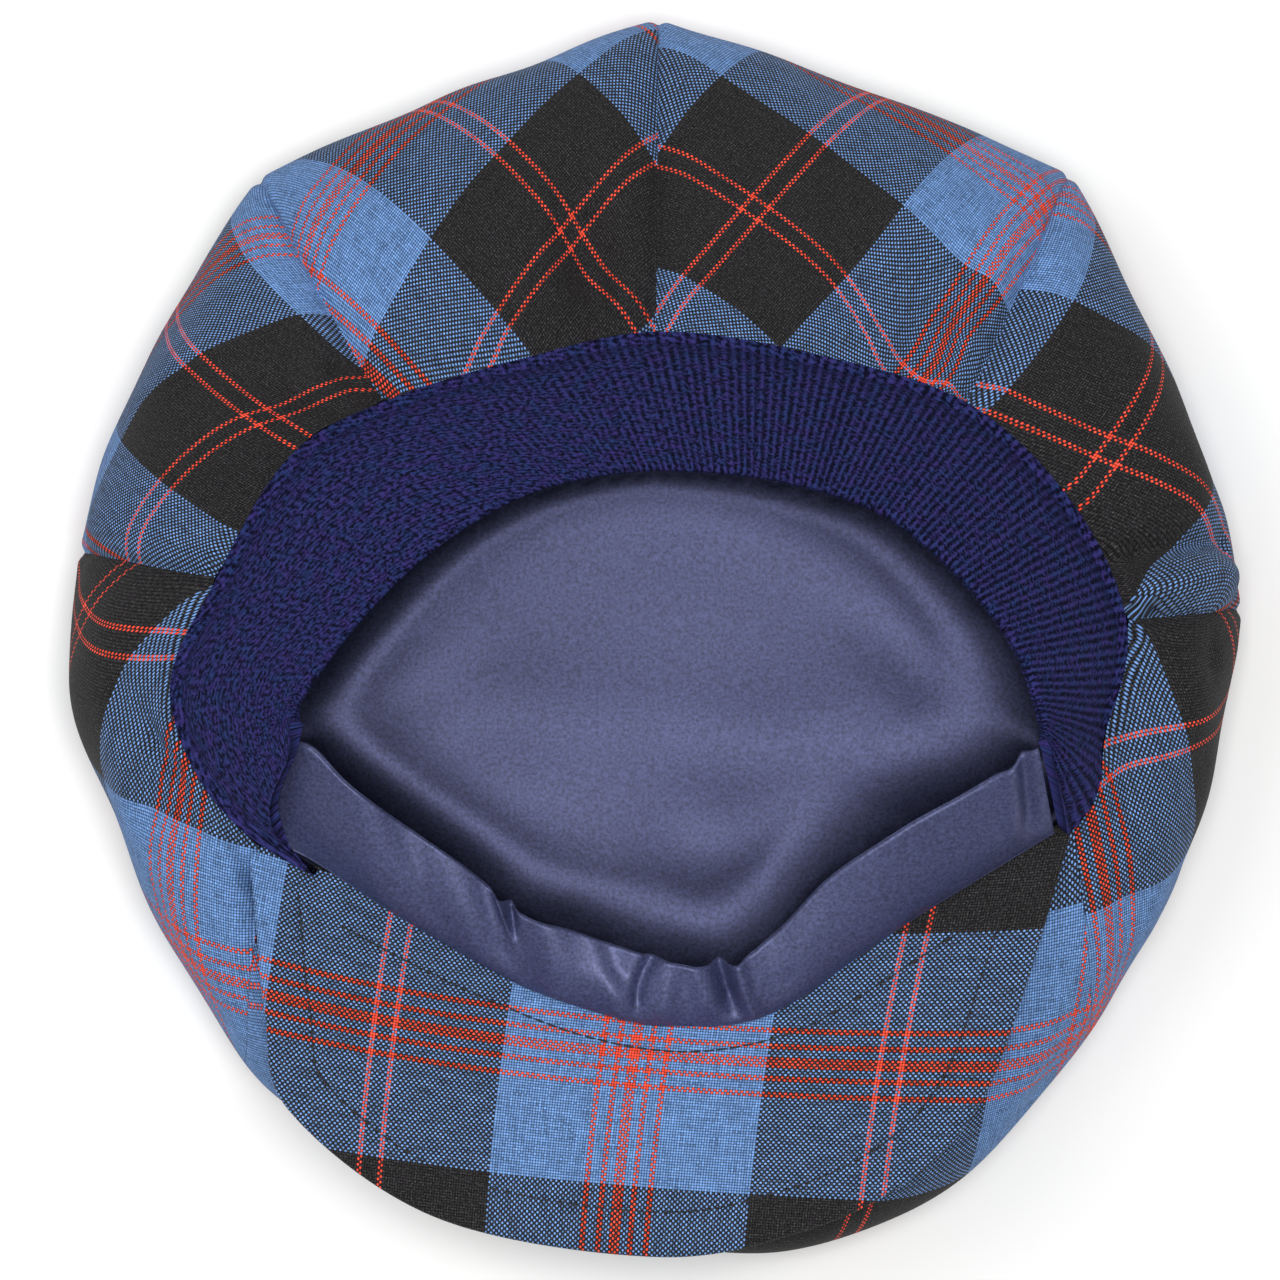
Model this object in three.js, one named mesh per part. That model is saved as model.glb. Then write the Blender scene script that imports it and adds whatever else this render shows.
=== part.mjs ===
// An eight-panel flat cap of tartan cloth, lying on its crown with the mouth up.
// The peak points along -Y and the knitted band runs round the back, +Y. The origin is
// on the floor under the covered button, at the middle of the crown. Millimetres, +Z up.
// Left and right are as the wearer has them: left is -X while the cap lies this way up.
import * as THREE from 'three';

// Driving dimensions
const clothWall = 1.6;
const satinWall = 1.0;
const knitWall = 3.2;
const seamGap = 0.4;
const layGap = 0.3; // between pieces that lie on each other
const equatorHeight = 28;
const liftShare = 0.76;
const hubRadius = 3.2;
const dimple = { height: 5.0, innerRadius: 9, outerRadius: 27 };
const button = { radius: 11, height: 4.6, rimHeight: 2.2, flatRadius: 7 };
const peak = {
  thickness: 3.4,
  rimThickness: 2.2,
  rootHeight: 58.5,
  rootY: -83.9,
  rise: 0.2,
  arch: 0.0015,
  archX: 4,
};
const seamPinch = { depth: 1.5, width: 5 };
const panelPuff = 3;
const liningGap = { side: 6, floor: 2.6, rim: 3.5 };

// The crown's mouth, with a row at each seam and each panel's middle, turning left from the
// right seam. roll is how far the cloth stands over the seam as it leaves it.
const ring = [
  { at: 'right seam', mouthX: 106.8, mouthY: 3.6, mouthZ: 60, roll: 5 },
  { at: 'right back', mouthX: 94.5, mouthY: 30.6, mouthZ: 60, roll: 4 },
  { at: 'back right seam', mouthX: 70.8, mouthY: 53.1, mouthZ: 60, roll: 3 },
  { at: 'back right', mouthX: 36.0, mouthY: 64.3, mouthZ: 60, roll: 4 },
  { at: 'back seam', mouthX: 0.2, mouthY: 69.3, mouthZ: 60, roll: 3 },
  { at: 'back left', mouthX: -31.5, mouthY: 62.8, mouthZ: 60, roll: 5 },
  { at: 'back left seam', mouthX: -61.9, mouthY: 53.1, mouthZ: 60, roll: 7 },
  { at: 'left back', mouthX: -83.3, mouthY: 40.7, mouthZ: 60, roll: 9 },
  { at: 'left seam', mouthX: -99.7, mouthY: 13.0, mouthZ: 60, roll: 4 },
  { at: 'left front', mouthX: -109.4, mouthY: -15.5, mouthZ: 60, roll: 3 },
  { at: 'front left seam', mouthX: -88.2, mouthY: -48.0, mouthZ: 60.6, roll: 1 },
  { at: 'front left', mouthX: -39.4, mouthY: -71.9, mouthZ: 55.8, roll: 0 },
  { at: 'front seam', mouthX: 7.9, mouthY: -85.6, mouthZ: 55.8, roll: 0 },
  { at: 'front right', mouthX: 52.9, mouthY: -67.4, mouthZ: 55.7, roll: 0 },
  { at: 'front right seam', mouthX: 94.2, mouthY: -41.7, mouthZ: 58.9, roll: 1 },
  { at: 'right front', mouthX: 103.1, mouthY: -20.0, mouthZ: 60, roll: 3 },
];

// The crown's widest line in plan, with a row at each seam and three between seams.
const outline = [
  { at: 'right seam', x: 135.4, y: 6.0 },
  { at: 'before right back', x: 129.8, y: 32.0 },
  { at: 'right back', x: 120.2, y: 56.5 },
  { at: 'before back right seam', x: 108.9, y: 80.8 },
  { at: 'back right seam', x: 96.0, y: 106.4 },
  { at: 'before back right', x: 71.9, y: 116.6 },
  { at: 'back right', x: 48.7, y: 125.4 },
  { at: 'before back seam', x: 25.5, y: 133.9 },
  { at: 'back seam', x: 0.8, y: 142.3 },
  { at: 'before back left', x: -23.6, y: 133.7 },
  { at: 'back left', x: -46.4, y: 125.0 },
  { at: 'before back left seam', x: -68.7, y: 115.7 },
  { at: 'back left seam', x: -91.7, y: 105.4 },
  { at: 'before left back', x: -104.8, y: 84.3 },
  { at: 'left back', x: -116.6, y: 63.6 },
  { at: 'before left seam', x: -126.5, y: 42.2 },
  { at: 'left seam', x: -132.9, y: 19.4 },
  { at: 'before left front', x: -134.2, y: -12.7 },
  { at: 'left front', x: -123.4, y: -42.7 },
  { at: 'before front left seam', x: -110.8, y: -71.3 },
  { at: 'front left seam', x: -93.7, y: -98.3 },
  { at: 'before front left', x: -74.0, y: -115.9 },
  { at: 'front left', x: -52.0, y: -130.2 },
  { at: 'before front seam', x: -26.6, y: -137.4 },
  { at: 'front seam', x: 1.0, y: -141.2 },
  { at: 'before front right', x: 29.9, y: -141.4 },
  { at: 'front right', x: 58.6, y: -132.4 },
  { at: 'before front right seam', x: 82.0, y: -113.7 },
  { at: 'front right seam', x: 99.9, y: -90.8 },
  { at: 'before right front', x: 113.9, y: -68.7 },
  { at: 'right front', x: 124.3, y: -45.0 },
  { at: 'before right seam', x: 130.5, y: -20.0 },
];

// Gathers in the crown's underside: the ring position where each starts at the mouth and
// where it would reach the equator, its depth (minus is a valley), width and share reached.
const gathers = [
  { at: 'beside the back seam', mouthAt: 4.36, equatorAt: 4.55, depth: -5, width: 6, reach: 0.5 },
  { at: 'lobe left of it', mouthAt: 4.8, equatorAt: 4.8, depth: 2.5, width: 12, reach: 0.6 },
  { at: 'pinch back right', mouthAt: 2.42, equatorAt: 2.3, depth: -4, width: 5, reach: 0.4 },
  { at: 'lobe over the back right seam', mouthAt: 2.2, equatorAt: 2.1, depth: 2, width: 5, reach: 0.9 },
  { at: 'cross fold right', mouthAt: 0.46, equatorAt: 0.3, depth: -4, width: 6, reach: 1.0 },
  { at: 'lobe beside it', mouthAt: 0.24, equatorAt: 0.14, depth: 2, width: 6, reach: 1.0 },
  { at: 'valley back left', mouthAt: 6.5, equatorAt: 6.9, depth: -3, width: 9, reach: 0.7 },
  { at: 'crease left front', mouthAt: 9.4, equatorAt: 8.9, depth: -3, width: 6, reach: 0.7 },
];

// The knitted band, from the right end to the left: the ring position where it is sewn to
// the crown's mouth (a negative one counts back from the right seam), how far inside and
// above the mouth its middle starts, and its free, folded edge.
const bandRows = [
  { at: 'right end', sewnAt: -2.1, inset: 0.6, raise: 8.5, freeX: 85.6, freeY: -22.9, freeZ: 87 },
  { at: 'right front', sewnAt: -1.05, inset: 2.0, raise: 1.0, freeX: 84.4, freeY: -16.8, freeZ: 89 },
  { at: 'right', sewnAt: 0, inset: 1.8, raise: -0.3, freeX: 78.9, freeY: -2.7, freeZ: 90 },
  { at: 'right back', sewnAt: 1, inset: 1.8, raise: -0.3, freeX: 67.5, freeY: 12.3, freeZ: 88 },
  { at: 'back right seam', sewnAt: 2, inset: 1.8, raise: -0.3, freeX: 50.4, freeY: 26.5, freeZ: 86 },
  { at: 'back right', sewnAt: 3, inset: 1.8, raise: -0.3, freeX: 29.7, freeY: 33.7, freeZ: 86 },
  { at: 'back', sewnAt: 4, inset: 1.8, raise: -0.3, freeX: 7.6, freeY: 36.4, freeZ: 86 },
  { at: 'back left', sewnAt: 5, inset: 1.8, raise: -0.3, freeX: -11.1, freeY: 35.6, freeZ: 83 },
  { at: 'back left seam', sewnAt: 6, inset: 1.8, raise: -0.3, freeX: -29.6, freeY: 30.8, freeZ: 80 },
  { at: 'left back', sewnAt: 7, inset: 1.8, raise: -0.3, freeX: -47.8, freeY: 20.0, freeZ: 80 },
  { at: 'left', sewnAt: 8, inset: 1.8, raise: -0.3, freeX: -63.6, freeY: 5.3, freeZ: 81 },
  { at: 'left front', sewnAt: 9, inset: 1.9, raise: 0.2, freeX: -77.0, freeY: -12.0, freeZ: 84 },
  { at: 'left low', sewnAt: 9.7, inset: 2.4, raise: 3.8, freeX: -79.2, freeY: -16.6, freeZ: 86 },
  { at: 'left end', sewnAt: 10.25, inset: 4.5, raise: 10.2, freeX: -79.4, freeY: -18.9, freeZ: 87 },
];
const bandBulge = 2.5;
const bandEndHollow = 0.5; // how far, in rows, the left end is cut back at its middle

// The peak: its sewn root and its outer edge in plan, from the left end to the right.
const peakRows = [
  { at: 'left end', rootX: -88.1, rootY: -47.0, edgeX: -91.0, edgeY: -49.6 },
  { at: 'left side', rootX: -69.6, rootY: -54.8, edgeX: -89.3, edgeY: -66.1 },
  { at: 'left', rootX: -50.6, rootY: -65.0, edgeX: -87.2, edgeY: -84.4 },
  { at: 'left corner', rootX: -32.7, rootY: -73.4, edgeX: -81.5, edgeY: -106.0 },
  { at: 'front left', rootX: -12.4, rootY: -81.0, edgeX: -48.6, edgeY: -130.0 },
  { at: 'front', rootX: 7.9, rootY: -83.9, edgeX: 0.0, edgeY: -138.9 },
  { at: 'front right', rootX: 28.2, rootY: -79.9, edgeX: 33.0, edgeY: -133.2 },
  { at: 'right corner', rootX: 46.2, rootY: -69.6, edgeX: 57.5, edgeY: -121.2 },
  { at: 'right', rootX: 61.8, rootY: -59.4, edgeX: 72.8, edgeY: -104.4 },
  { at: 'right side', rootX: 77.3, rootY: -50.7, edgeX: 83.2, edgeY: -78.2 },
  { at: 'right end', rootX: 92.4, rootY: -41.2, edgeX: 93.6, edgeY: -43.8 },
];

// The satin facing over the peak's seam: its sewn edge in plan, its folded free edge and
// how far its middle stands out, from the left end to the right.
const facingRows = [
  { at: 'left tuck', sewnX: -79.6, sewnY: -48.4, foldX: -82.2, foldY: -25.0, foldZ: 74, bulge: -0.5 },
  { at: 'left end', sewnX: -77.0, sewnY: -49.4, foldX: -77.4, foldY: -23.8, foldZ: 80, bulge: 1.0 },
  { at: 'left side', sewnX: -61.7, sewnY: -59.4, foldX: -68.9, foldY: -31.5, foldZ: 79, bulge: 2.5 },
  { at: 'left', sewnX: -48.3, sewnY: -67.6, foldX: -56.8, foldY: -41.4, foldZ: 75, bulge: 3.5 },
  { at: 'left pucker', sewnX: -34.4, sewnY: -75.4, foldX: -42.5, foldY: -51.4, foldZ: 72, bulge: 3.5 },
  { at: 'left dent', sewnX: -24.4, sewnY: -80.0, foldX: -32.0, foldY: -60.8, foldZ: 70, bulge: 1.5 },
  { at: 'front left', sewnX: -5.7, sewnY: -85.7, foldX: -18.3, foldY: -65.8, foldZ: 69, bulge: 3.5 },
  { at: 'front', sewnX: 5.8, sewnY: -86.8, foldX: -1.4, foldY: -71.4, foldZ: 68, bulge: 2.5 },
  { at: 'right dent', sewnX: 19.1, sewnY: -86.2, foldX: 15.0, foldY: -73.6, foldZ: 68, bulge: 1.0 },
  { at: 'front right', sewnX: 30.8, sewnY: -81.5, foldX: 26.1, foldY: -67.0, foldZ: 69, bulge: 2.5 },
  { at: 'right', sewnX: 43.6, sewnY: -72.6, foldX: 39.4, foldY: -53.0, foldZ: 72, bulge: 3.0 },
  { at: 'right middle', sewnX: 57.2, sewnY: -63.2, foldX: 54.0, foldY: -43.0, foldZ: 76, bulge: 2.5 },
  { at: 'right side', sewnX: 71.7, sewnY: -54.2, foldX: 69.0, foldY: -34.6, foldZ: 79, bulge: 2.0 },
  { at: 'right end', sewnX: 89.2, sewnY: -43.4, foldX: 84.6, foldY: -24.8, foldZ: 84, bulge: 1.5 },
];
const facingWall = 2.0;

// Where the rows of faces lie along a meridian: 0 to 1 on the floor, 1 to 2 up to the
// equator, 2 to 3 back over the top to the mouth.
const meridianStations = [
  0, 0.12, 0.3, 0.65, 1, 1.28, 1.52, 1.76, 2, 2.14, 2.28, 2.42, 2.55, 2.67, 2.78, 2.87, 2.94, 3,
];
const panelColumns = [-1, -0.9, -0.66, -0.38, -0.1, 0.18, 0.44, 0.68, 0.9, 1];
const normalStep = 0.02;

const smoothstep = (low, high, x) => THREE.MathUtils.smoothstep(x, low, high);
const softMin = (a, b, width) => -width * Math.log(Math.exp(-a / width) + Math.exp(-b / width));

// Catmull-Rom through one column of a table, at row position t. A closed table wraps.
function throughRows(rows, column, t, closed = false) {
  const value = (i) => {
    if (closed) return rows[((i % rows.length) + rows.length) % rows.length][column];
    if (i < 0) return 2 * rows[0][column] - rows[1][column];
    if (i >= rows.length) return 2 * rows.at(-1)[column] - rows.at(-2)[column];
    return rows[i][column];
  };
  const i = closed ? Math.floor(t) : Math.min(Math.max(Math.floor(t), 0), rows.length - 2);
  const f = t - i;
  const [a, b, c, d] = [value(i - 1), value(i), value(i + 1), value(i + 2)];
  return b + 0.5 * f * (c - a + f * (2 * a - 5 * b + 4 * c - d + f * (3 * (b - c) + d - a)));
}

// The widest line at ring position t, smooth within a panel and with a corner at each seam.
function equatorPoint(t) {
  const panel = Math.floor(t / 2);
  const rows = Array.from({ length: 5 }, (_, k) => outline[(((4 * panel + k) % 32) + 32) % 32]);
  const along = 2 * (t - 2 * panel);
  return new THREE.Vector3(throughRows(rows, 'x', along), throughRows(rows, 'y', along), equatorHeight);
}

const mouthPoint = (t) =>
  new THREE.Vector3(
    throughRows(ring, 'mouthX', t, true),
    throughRows(ring, 'mouthY', t, true),
    throughRows(ring, 'mouthZ', t, true),
  );

// Height of the peak's upward face over a point in plan: a tilted, arched sheet.
const peakHeight = (x, y) =>
  peak.rootHeight - peak.rise * (y - peak.rootY) + peak.arch * (x - peak.archX) ** 2;

// One meridian of a soft dome: floor, a quarter turn up to the equator, and back to the mouth.
function meridian(equator, mouth, floorHeight, roll, station) {
  const lift = new THREE.Vector3(equator.x * liftShare, equator.y * liftShare, 0);
  if (station <= 1) {
    const radius = THREE.MathUtils.lerp(hubRadius, lift.length(), station);
    const height = dimple.height * (1 - smoothstep(dimple.innerRadius, dimple.outerRadius, radius));
    return lift.clone().setLength(radius).setZ(floorHeight + height);
  }
  const roundness = 0.55;
  if (station <= 2) {
    const floorEdge = lift.clone().setZ(floorHeight);
    const outward = new THREE.Vector3().subVectors(equator, floorEdge).setZ(0);
    return new THREE.CubicBezierCurve3(
      floorEdge,
      floorEdge.clone().addScaledVector(outward, roundness),
      equator.clone().setZ(THREE.MathUtils.lerp(equator.z, floorHeight, roundness)),
      equator,
    ).getPoint(station - 1);
  }
  const outward = new THREE.Vector3().subVectors(equator, mouth).setZ(0);
  const rise = (mouth.z - equator.z) * 0.62;
  return new THREE.CubicBezierCurve3(
    equator,
    equator.clone().setZ(equator.z + rise),
    mouth.clone().addScaledVector(outward, 0.42).setZ(mouth.z + roll),
    mouth,
  ).getPoint(station - 2);
}

// The surface's direction into the hollow at a ring position and station, by differences.
function inward(surface, t, station) {
  const after = surface(t + normalStep, station);
  const alongRing = after.clone().sub(surface(t - normalStep, station));
  const low = Math.max(station - normalStep, 0);
  const high = Math.min(station + normalStep, 3);
  const alongMeridian = new THREE.Vector3().subVectors(surface(t, high), surface(t, low));
  return alongMeridian.cross(alongRing).normalize();
}

const smoothCrown = (t, station) =>
  meridian(equatorPoint(t), mouthPoint(t), 0, throughRows(ring, 'roll', t, true), station);

// How far the cloth stands proud of the smooth crown: puffed panels, pinched seams, gathers.
function clothRelief(t, station) {
  const share = Math.max(station - 2, 0);
  const u = t - 2 * Math.floor(t / 2) - 1;
  const millimetresPerRow = THREE.MathUtils.lerp(54, 33, share);
  const fromSeam = (1 - Math.abs(u)) * millimetresPerRow;
  let relief = panelPuff * (1 - u * u) * Math.sin(Math.PI * share) ** 2;
  relief -= smoothstep(0, 0.15, share) * seamPinch.depth * Math.exp(-((fromSeam / seamPinch.width) ** 2));
  for (const gather of gathers) {
    const line = THREE.MathUtils.lerp(gather.equatorAt, gather.mouthAt, share);
    const away = (t - line) * millimetresPerRow;
    const heldBySeam = 1 - 0.6 * smoothstep(0.82, 1, share);
    const strength = heldBySeam * smoothstep(1 - gather.reach, 1 - 0.3 * gather.reach, share);
    relief += gather.depth * strength * Math.exp(-((away / gather.width) ** 2));
  }
  return relief;
}

// The crown's outer face. Under the peak the cloth is pressed down clear of it.
function crownPoint(t, station) {
  const wrapped = ((t % ring.length) + ring.length) % ring.length;
  const point = smoothCrown(wrapped, station);
  if (station <= 1) return point;
  point.addScaledVector(inward(smoothCrown, wrapped, station), -clothRelief(wrapped, station));
  const ceiling = peakHeight(point.x, point.y) - peak.thickness - layGap;
  const underPeak = smoothstep(20, 45, -point.y);
  point.z = THREE.MathUtils.lerp(point.z, softMin(point.z, ceiling, 0.35), underPeak);
  point.z = Math.max(point.z, 0);
  return point;
}

// A closed wall between two grids of points: grid[row][column]. With wrap the columns join
// up, and a pole closes the first row on one point a side.
function wallGeometry(face, back, { wrap = false, facePole = null, backPole = null } = {}) {
  const rows = face.length;
  const columns = face[0].length;
  const positions = [];
  for (const point of [face, back].flat(2)) positions.push(point.x, point.y, point.z);
  const index = (side, i, j) => side * rows * columns + i * columns + (j % columns);
  const triangles = [];
  const quad = (a, b, c, d) => triangles.push(a, b, c, a, c, d);
  const spans = wrap ? columns : columns - 1;
  for (let i = 0; i + 1 < rows; i += 1) {
    for (let j = 0; j < spans; j += 1) {
      quad(index(0, i, j), index(0, i, j + 1), index(0, i + 1, j + 1), index(0, i + 1, j));
      quad(index(1, i, j), index(1, i + 1, j), index(1, i + 1, j + 1), index(1, i, j + 1));
    }
  }
  for (let j = 0; j < spans; j += 1) {
    quad(index(0, rows - 1, j), index(0, rows - 1, j + 1), index(1, rows - 1, j + 1), index(1, rows - 1, j));
    if (!facePole) quad(index(0, 0, j), index(1, 0, j), index(1, 0, j + 1), index(0, 0, j + 1));
  }
  if (facePole) {
    const pole = positions.length / 3;
    positions.push(...facePole.toArray(), ...backPole.toArray());
    for (let j = 0; j < spans; j += 1) {
      triangles.push(pole, index(0, 0, j + 1), index(0, 0, j), pole + 1, index(1, 0, j), index(1, 0, j + 1));
    }
  }
  if (!wrap) {
    for (let i = 0; i + 1 < rows; i += 1) {
      quad(index(0, i, 0), index(0, i + 1, 0), index(1, i + 1, 0), index(1, i, 0));
      const last = columns - 1;
      quad(index(0, i, last), index(1, i, last), index(1, i + 1, last), index(0, i + 1, last));
    }
  }
  const geometry = new THREE.BufferGeometry();
  geometry.setAttribute('position', new THREE.Float32BufferAttribute(positions, 3));
  geometry.setIndex(signedVolume(positions, triangles) < 0 ? triangles.reverse() : triangles);
  return geometry;
}

function signedVolume(positions, triangles) {
  const corner = (k) => new THREE.Vector3().fromArray(positions, 3 * triangles[k]);
  let volume = 0;
  for (let k = 0; k < triangles.length; k += 3) volume += corner(k).dot(corner(k + 1).cross(corner(k + 2))) / 6;
  return volume;
}

// One crown panel, from the hub to the mouth, a seam gap short of its neighbours.
function panelGeometry(panel) {
  const outer = [];
  const inner = [];
  for (const station of meridianStations) {
    const outerRow = [];
    const innerRow = [];
    for (const u of panelColumns) {
      const t = 2 * panel + 1 + u;
      const atSeam = Math.abs(u) === 1;
      const millimetresPerRow =
        crownPoint(t + normalStep, station).distanceTo(crownPoint(t - normalStep, station)) / (2 * normalStep);
      const inset = atSeam ? (-Math.sign(u) * seamGap) / 2 / millimetresPerRow : 0;
      const point = crownPoint(t + inset, station);
      outerRow.push(point);
      innerRow.push(point.clone().addScaledVector(inward(crownPoint, t, station), clothWall));
    }
    outer.push(outerRow);
    inner.push(innerRow);
  }
  return wallGeometry(outer, inner);
}

// The lining: a smoother, smaller bowl inside the crown, sewn in under the mouth's edge.
function liningPoint(t, station, depth) {
  const equator = new THREE.Vector3(
    throughRows(outline, 'x', 2 * t, true),
    throughRows(outline, 'y', 2 * t, true),
    equatorHeight,
  );
  equator.multiplyScalar(1 - (liningGap.side + depth) / Math.hypot(equator.x, equator.y)).setZ(equatorHeight);
  const mouth = mouthPoint(t);
  mouth.setLength(mouth.length() - 1).setZ(mouthPoint(t).z - liningGap.rim - depth);
  return meridian(equator, mouth, liningGap.floor + depth, -6, station);
}

function liningGeometry() {
  const stations = [0.12, 0.3, 0.6, 1, 1.3, 1.6, 2, 2.25, 2.5, 2.75, 3];
  const columns = 32;
  const grid = (depth) =>
    stations.map((station) =>
      Array.from({ length: columns }, (_, j) => liningPoint((j * ring.length) / columns, station, depth)),
    );
  const pole = (depth) => new THREE.Vector3(0, 0, liningGap.floor + depth + dimple.height);
  return wallGeometry(grid(0), grid(satinWall), {
    wrap: true,
    facePole: pole(0),
    backPole: pole(satinWall),
  });
}

// A strip between two edges, thickened both ways from its middle sheet.
function stripGeometry(sheet, sections, stations, thickness) {
  const step = 0.01;
  const side = (direction) =>
    sections.map((t) =>
      stations.map((w) => {
        const alongStrip = sheet(t + step, w).sub(sheet(t - step, w));
        const acrossStrip = sheet(t, Math.min(w + step, 1)).sub(sheet(t, Math.max(w - step, 0)));
        const normal = alongStrip.cross(acrossStrip).normalize();
        return sheet(t, w).addScaledVector(normal, (direction * thickness(w)) / 2);
      }),
    );
  return wallGeometry(side(1), side(-1));
}

const evenly = (from, to, count) => Array.from({ length: count + 1 }, (_, i) => from + ((to - from) * i) / count);

function bandSheet(t, w) {
  const last = bandRows.length - 1;
  const hollow = bandEndHollow * smoothstep(last - 1, last, t) * Math.sin(Math.PI * w ** 0.7);
  const column = (name) => throughRows(bandRows, name, t - hollow);
  const free = new THREE.Vector3(column('freeX'), column('freeY'), column('freeZ'));
  const sewn = mouthPoint(column('sewnAt'));
  const inset = column('inset') / Math.hypot(free.x - sewn.x, free.y - sewn.y);
  sewn.lerp(free.clone().setZ(sewn.z), inset).setZ(sewn.z + column('raise'));
  return sewn.lerp(free, w).add(new THREE.Vector3(0, 0, bandBulge * Math.sin(Math.PI * w)));
}

function bandGeometry() {
  const stations = [0, 0.2, 0.45, 0.7, 0.88, 0.97, 1];
  const thickness = (w) => knitWall * (1 - 0.65 * smoothstep(0.95, 1, w));
  return stripGeometry(bandSheet, evenly(0, bandRows.length - 1, 46), stations, thickness);
}

function facingSheet(t, w) {
  const column = (name) => throughRows(facingRows, name, t, false);
  const sewn = new THREE.Vector3(column('sewnX'), column('sewnY'), 0);
  sewn.z = peakHeight(sewn.x, sewn.y) + facingWall / 2 + 0.1;
  const fold = new THREE.Vector3(column('foldX'), column('foldY'), column('foldZ'));
  const standsOut = new THREE.Vector3(0, -0.4, 0.8).multiplyScalar(column('bulge') * Math.sin(Math.PI * w));
  return sewn.lerp(fold, w).add(standsOut);
}

function facingGeometry() {
  const stations = [0, 0.25, 0.55, 0.8, 0.95, 1];
  const thickness = (w) => facingWall * (1 - 0.5 * smoothstep(0.9, 1, w));
  return stripGeometry(facingSheet, evenly(0, facingRows.length - 1, 44), stations, thickness);
}

function peakGeometry() {
  const stations = [0, 0.35, 0.68, 0.9, 0.975, 1];
  const sections = evenly(0, peakRows.length - 1, 34);
  const grid = (side) =>
    sections.map((t) =>
      stations.map((w) => {
        const x = THREE.MathUtils.lerp(throughRows(peakRows, 'rootX', t), throughRows(peakRows, 'edgeX', t), w);
        const y = THREE.MathUtils.lerp(throughRows(peakRows, 'rootY', t), throughRows(peakRows, 'edgeY', t), w);
        const taper = ((peak.thickness - peak.rimThickness) / 2) * smoothstep(0.88, 1, w);
        return new THREE.Vector3(x, y, peakHeight(x, y) - (side === 'up' ? taper : peak.thickness - taper));
      }),
    );
  return wallGeometry(grid('up'), grid('down'));
}

// The covered button over the panels' tips, a shallow dome lying face down.
function buttonGeometry() {
  const profile = [
    [0, 0],
    [button.flatRadius, 0],
    [button.radius * 0.88, button.rimHeight * 0.35],
    [button.radius, button.rimHeight],
    [button.radius * 0.8, button.height * 0.85],
    [0, button.height],
  ].map(([radius, height]) => new THREE.Vector2(radius, height));
  return new THREE.LatheGeometry(profile, 20).rotateX(Math.PI / 2);
}

const clothMaterial = new THREE.MeshStandardMaterial({ color: '#4a6488', roughness: 0.92, metalness: 0 });
const satinMaterial = new THREE.MeshStandardMaterial({ color: '#4d5274', roughness: 0.45, metalness: 0 });
const knitMaterial = new THREE.MeshStandardMaterial({ color: '#1f2050', roughness: 0.95, metalness: 0 });

const cap = new THREE.Group();
function addPiece(name, geometry, material) {
  const piece = new THREE.Mesh(geometry, material);
  piece.name = name;
  cap.add(piece);
}

const panelNames = [
  'right_back', 'back_right', 'back_left', 'left_back', 'left_front', 'front_left', 'front_right', 'right_front',
];
panelNames.forEach((name, panel) => addPiece(`crown_panel_${name}`, panelGeometry(panel), clothMaterial));
addPiece('crown_button', buttonGeometry(), clothMaterial);
addPiece('peak', peakGeometry(), clothMaterial);
addPiece('knit_band', bandGeometry(), knitMaterial);
addPiece('satin_lining', liningGeometry(), satinMaterial);
addPiece('satin_facing', facingGeometry(), satinMaterial);

export default cap;
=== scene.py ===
import bpy
import numpy as np
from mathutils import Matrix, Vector


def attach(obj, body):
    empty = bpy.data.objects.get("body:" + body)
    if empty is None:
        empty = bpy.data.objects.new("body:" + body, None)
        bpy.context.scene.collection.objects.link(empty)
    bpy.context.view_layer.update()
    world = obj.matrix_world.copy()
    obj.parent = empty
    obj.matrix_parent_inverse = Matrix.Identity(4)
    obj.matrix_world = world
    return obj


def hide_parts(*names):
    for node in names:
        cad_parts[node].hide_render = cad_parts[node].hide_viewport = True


# An eight-panel flat cap in blue, black and red tartan, lying on its crown with the mouth up.
# Lengths in the tables are millimetres; makePiece turns them to metres.
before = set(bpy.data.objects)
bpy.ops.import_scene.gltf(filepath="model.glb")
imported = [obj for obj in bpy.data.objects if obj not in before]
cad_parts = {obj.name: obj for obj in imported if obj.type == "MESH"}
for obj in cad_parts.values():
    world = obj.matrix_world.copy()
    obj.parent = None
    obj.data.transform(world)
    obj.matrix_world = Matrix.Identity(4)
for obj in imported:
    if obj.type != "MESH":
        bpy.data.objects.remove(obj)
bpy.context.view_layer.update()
print("frame loaded")

camera = bpy.data.objects.new("camera", bpy.data.cameras.new("camera"))
camera.location = (-0.0034, -0.0009, 1.4)  # straight above the mouth, as the photo is taken
camera.data.sensor_width = 36
camera.data.lens = 167.53  # 1280 px cover 294.4 mm at 30 mm above the floor
bpy.context.scene.collection.objects.link(camera)
bpy.context.scene.camera = camera


def srgb(colour):
    # hex to linear: x / 12.92 up to 0.04045, above it ((x + 0.055) / 1.055) ** 2.4
    x = np.array([int(colour[i:i + 2], 16) for i in (1, 3, 5)]) / 255
    return (*np.where(x <= 0.04045, x / 12.92, ((x + 0.055) / 1.055) ** 2.4), 1.0)


def addNode(tree, kind, *inputs, named=None, output=0, **settings):
    # one node, its inputs in socket order or named by socket, where 6 and 7 are a Mix node's colours.
    # Gives back one of its outputs, or the node where it has none.
    node = tree.nodes.new("ShaderNode" + kind)
    for name, value in settings.items():
        setattr(node, name, value)
    for key, value in [*enumerate(inputs), *(named or {}).items()]:
        if isinstance(value, bpy.types.NodeSocket):
            tree.links.new(value, node.inputs[key])
        elif value is not None:
            node.inputs[key].default_value = value
    return node.outputs[output] if node.outputs else node


def newMaterial(name):
    material = bpy.data.materials.new(name)
    material.use_nodes = True
    material.node_tree.nodes.clear()
    return material, material.node_tree


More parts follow.
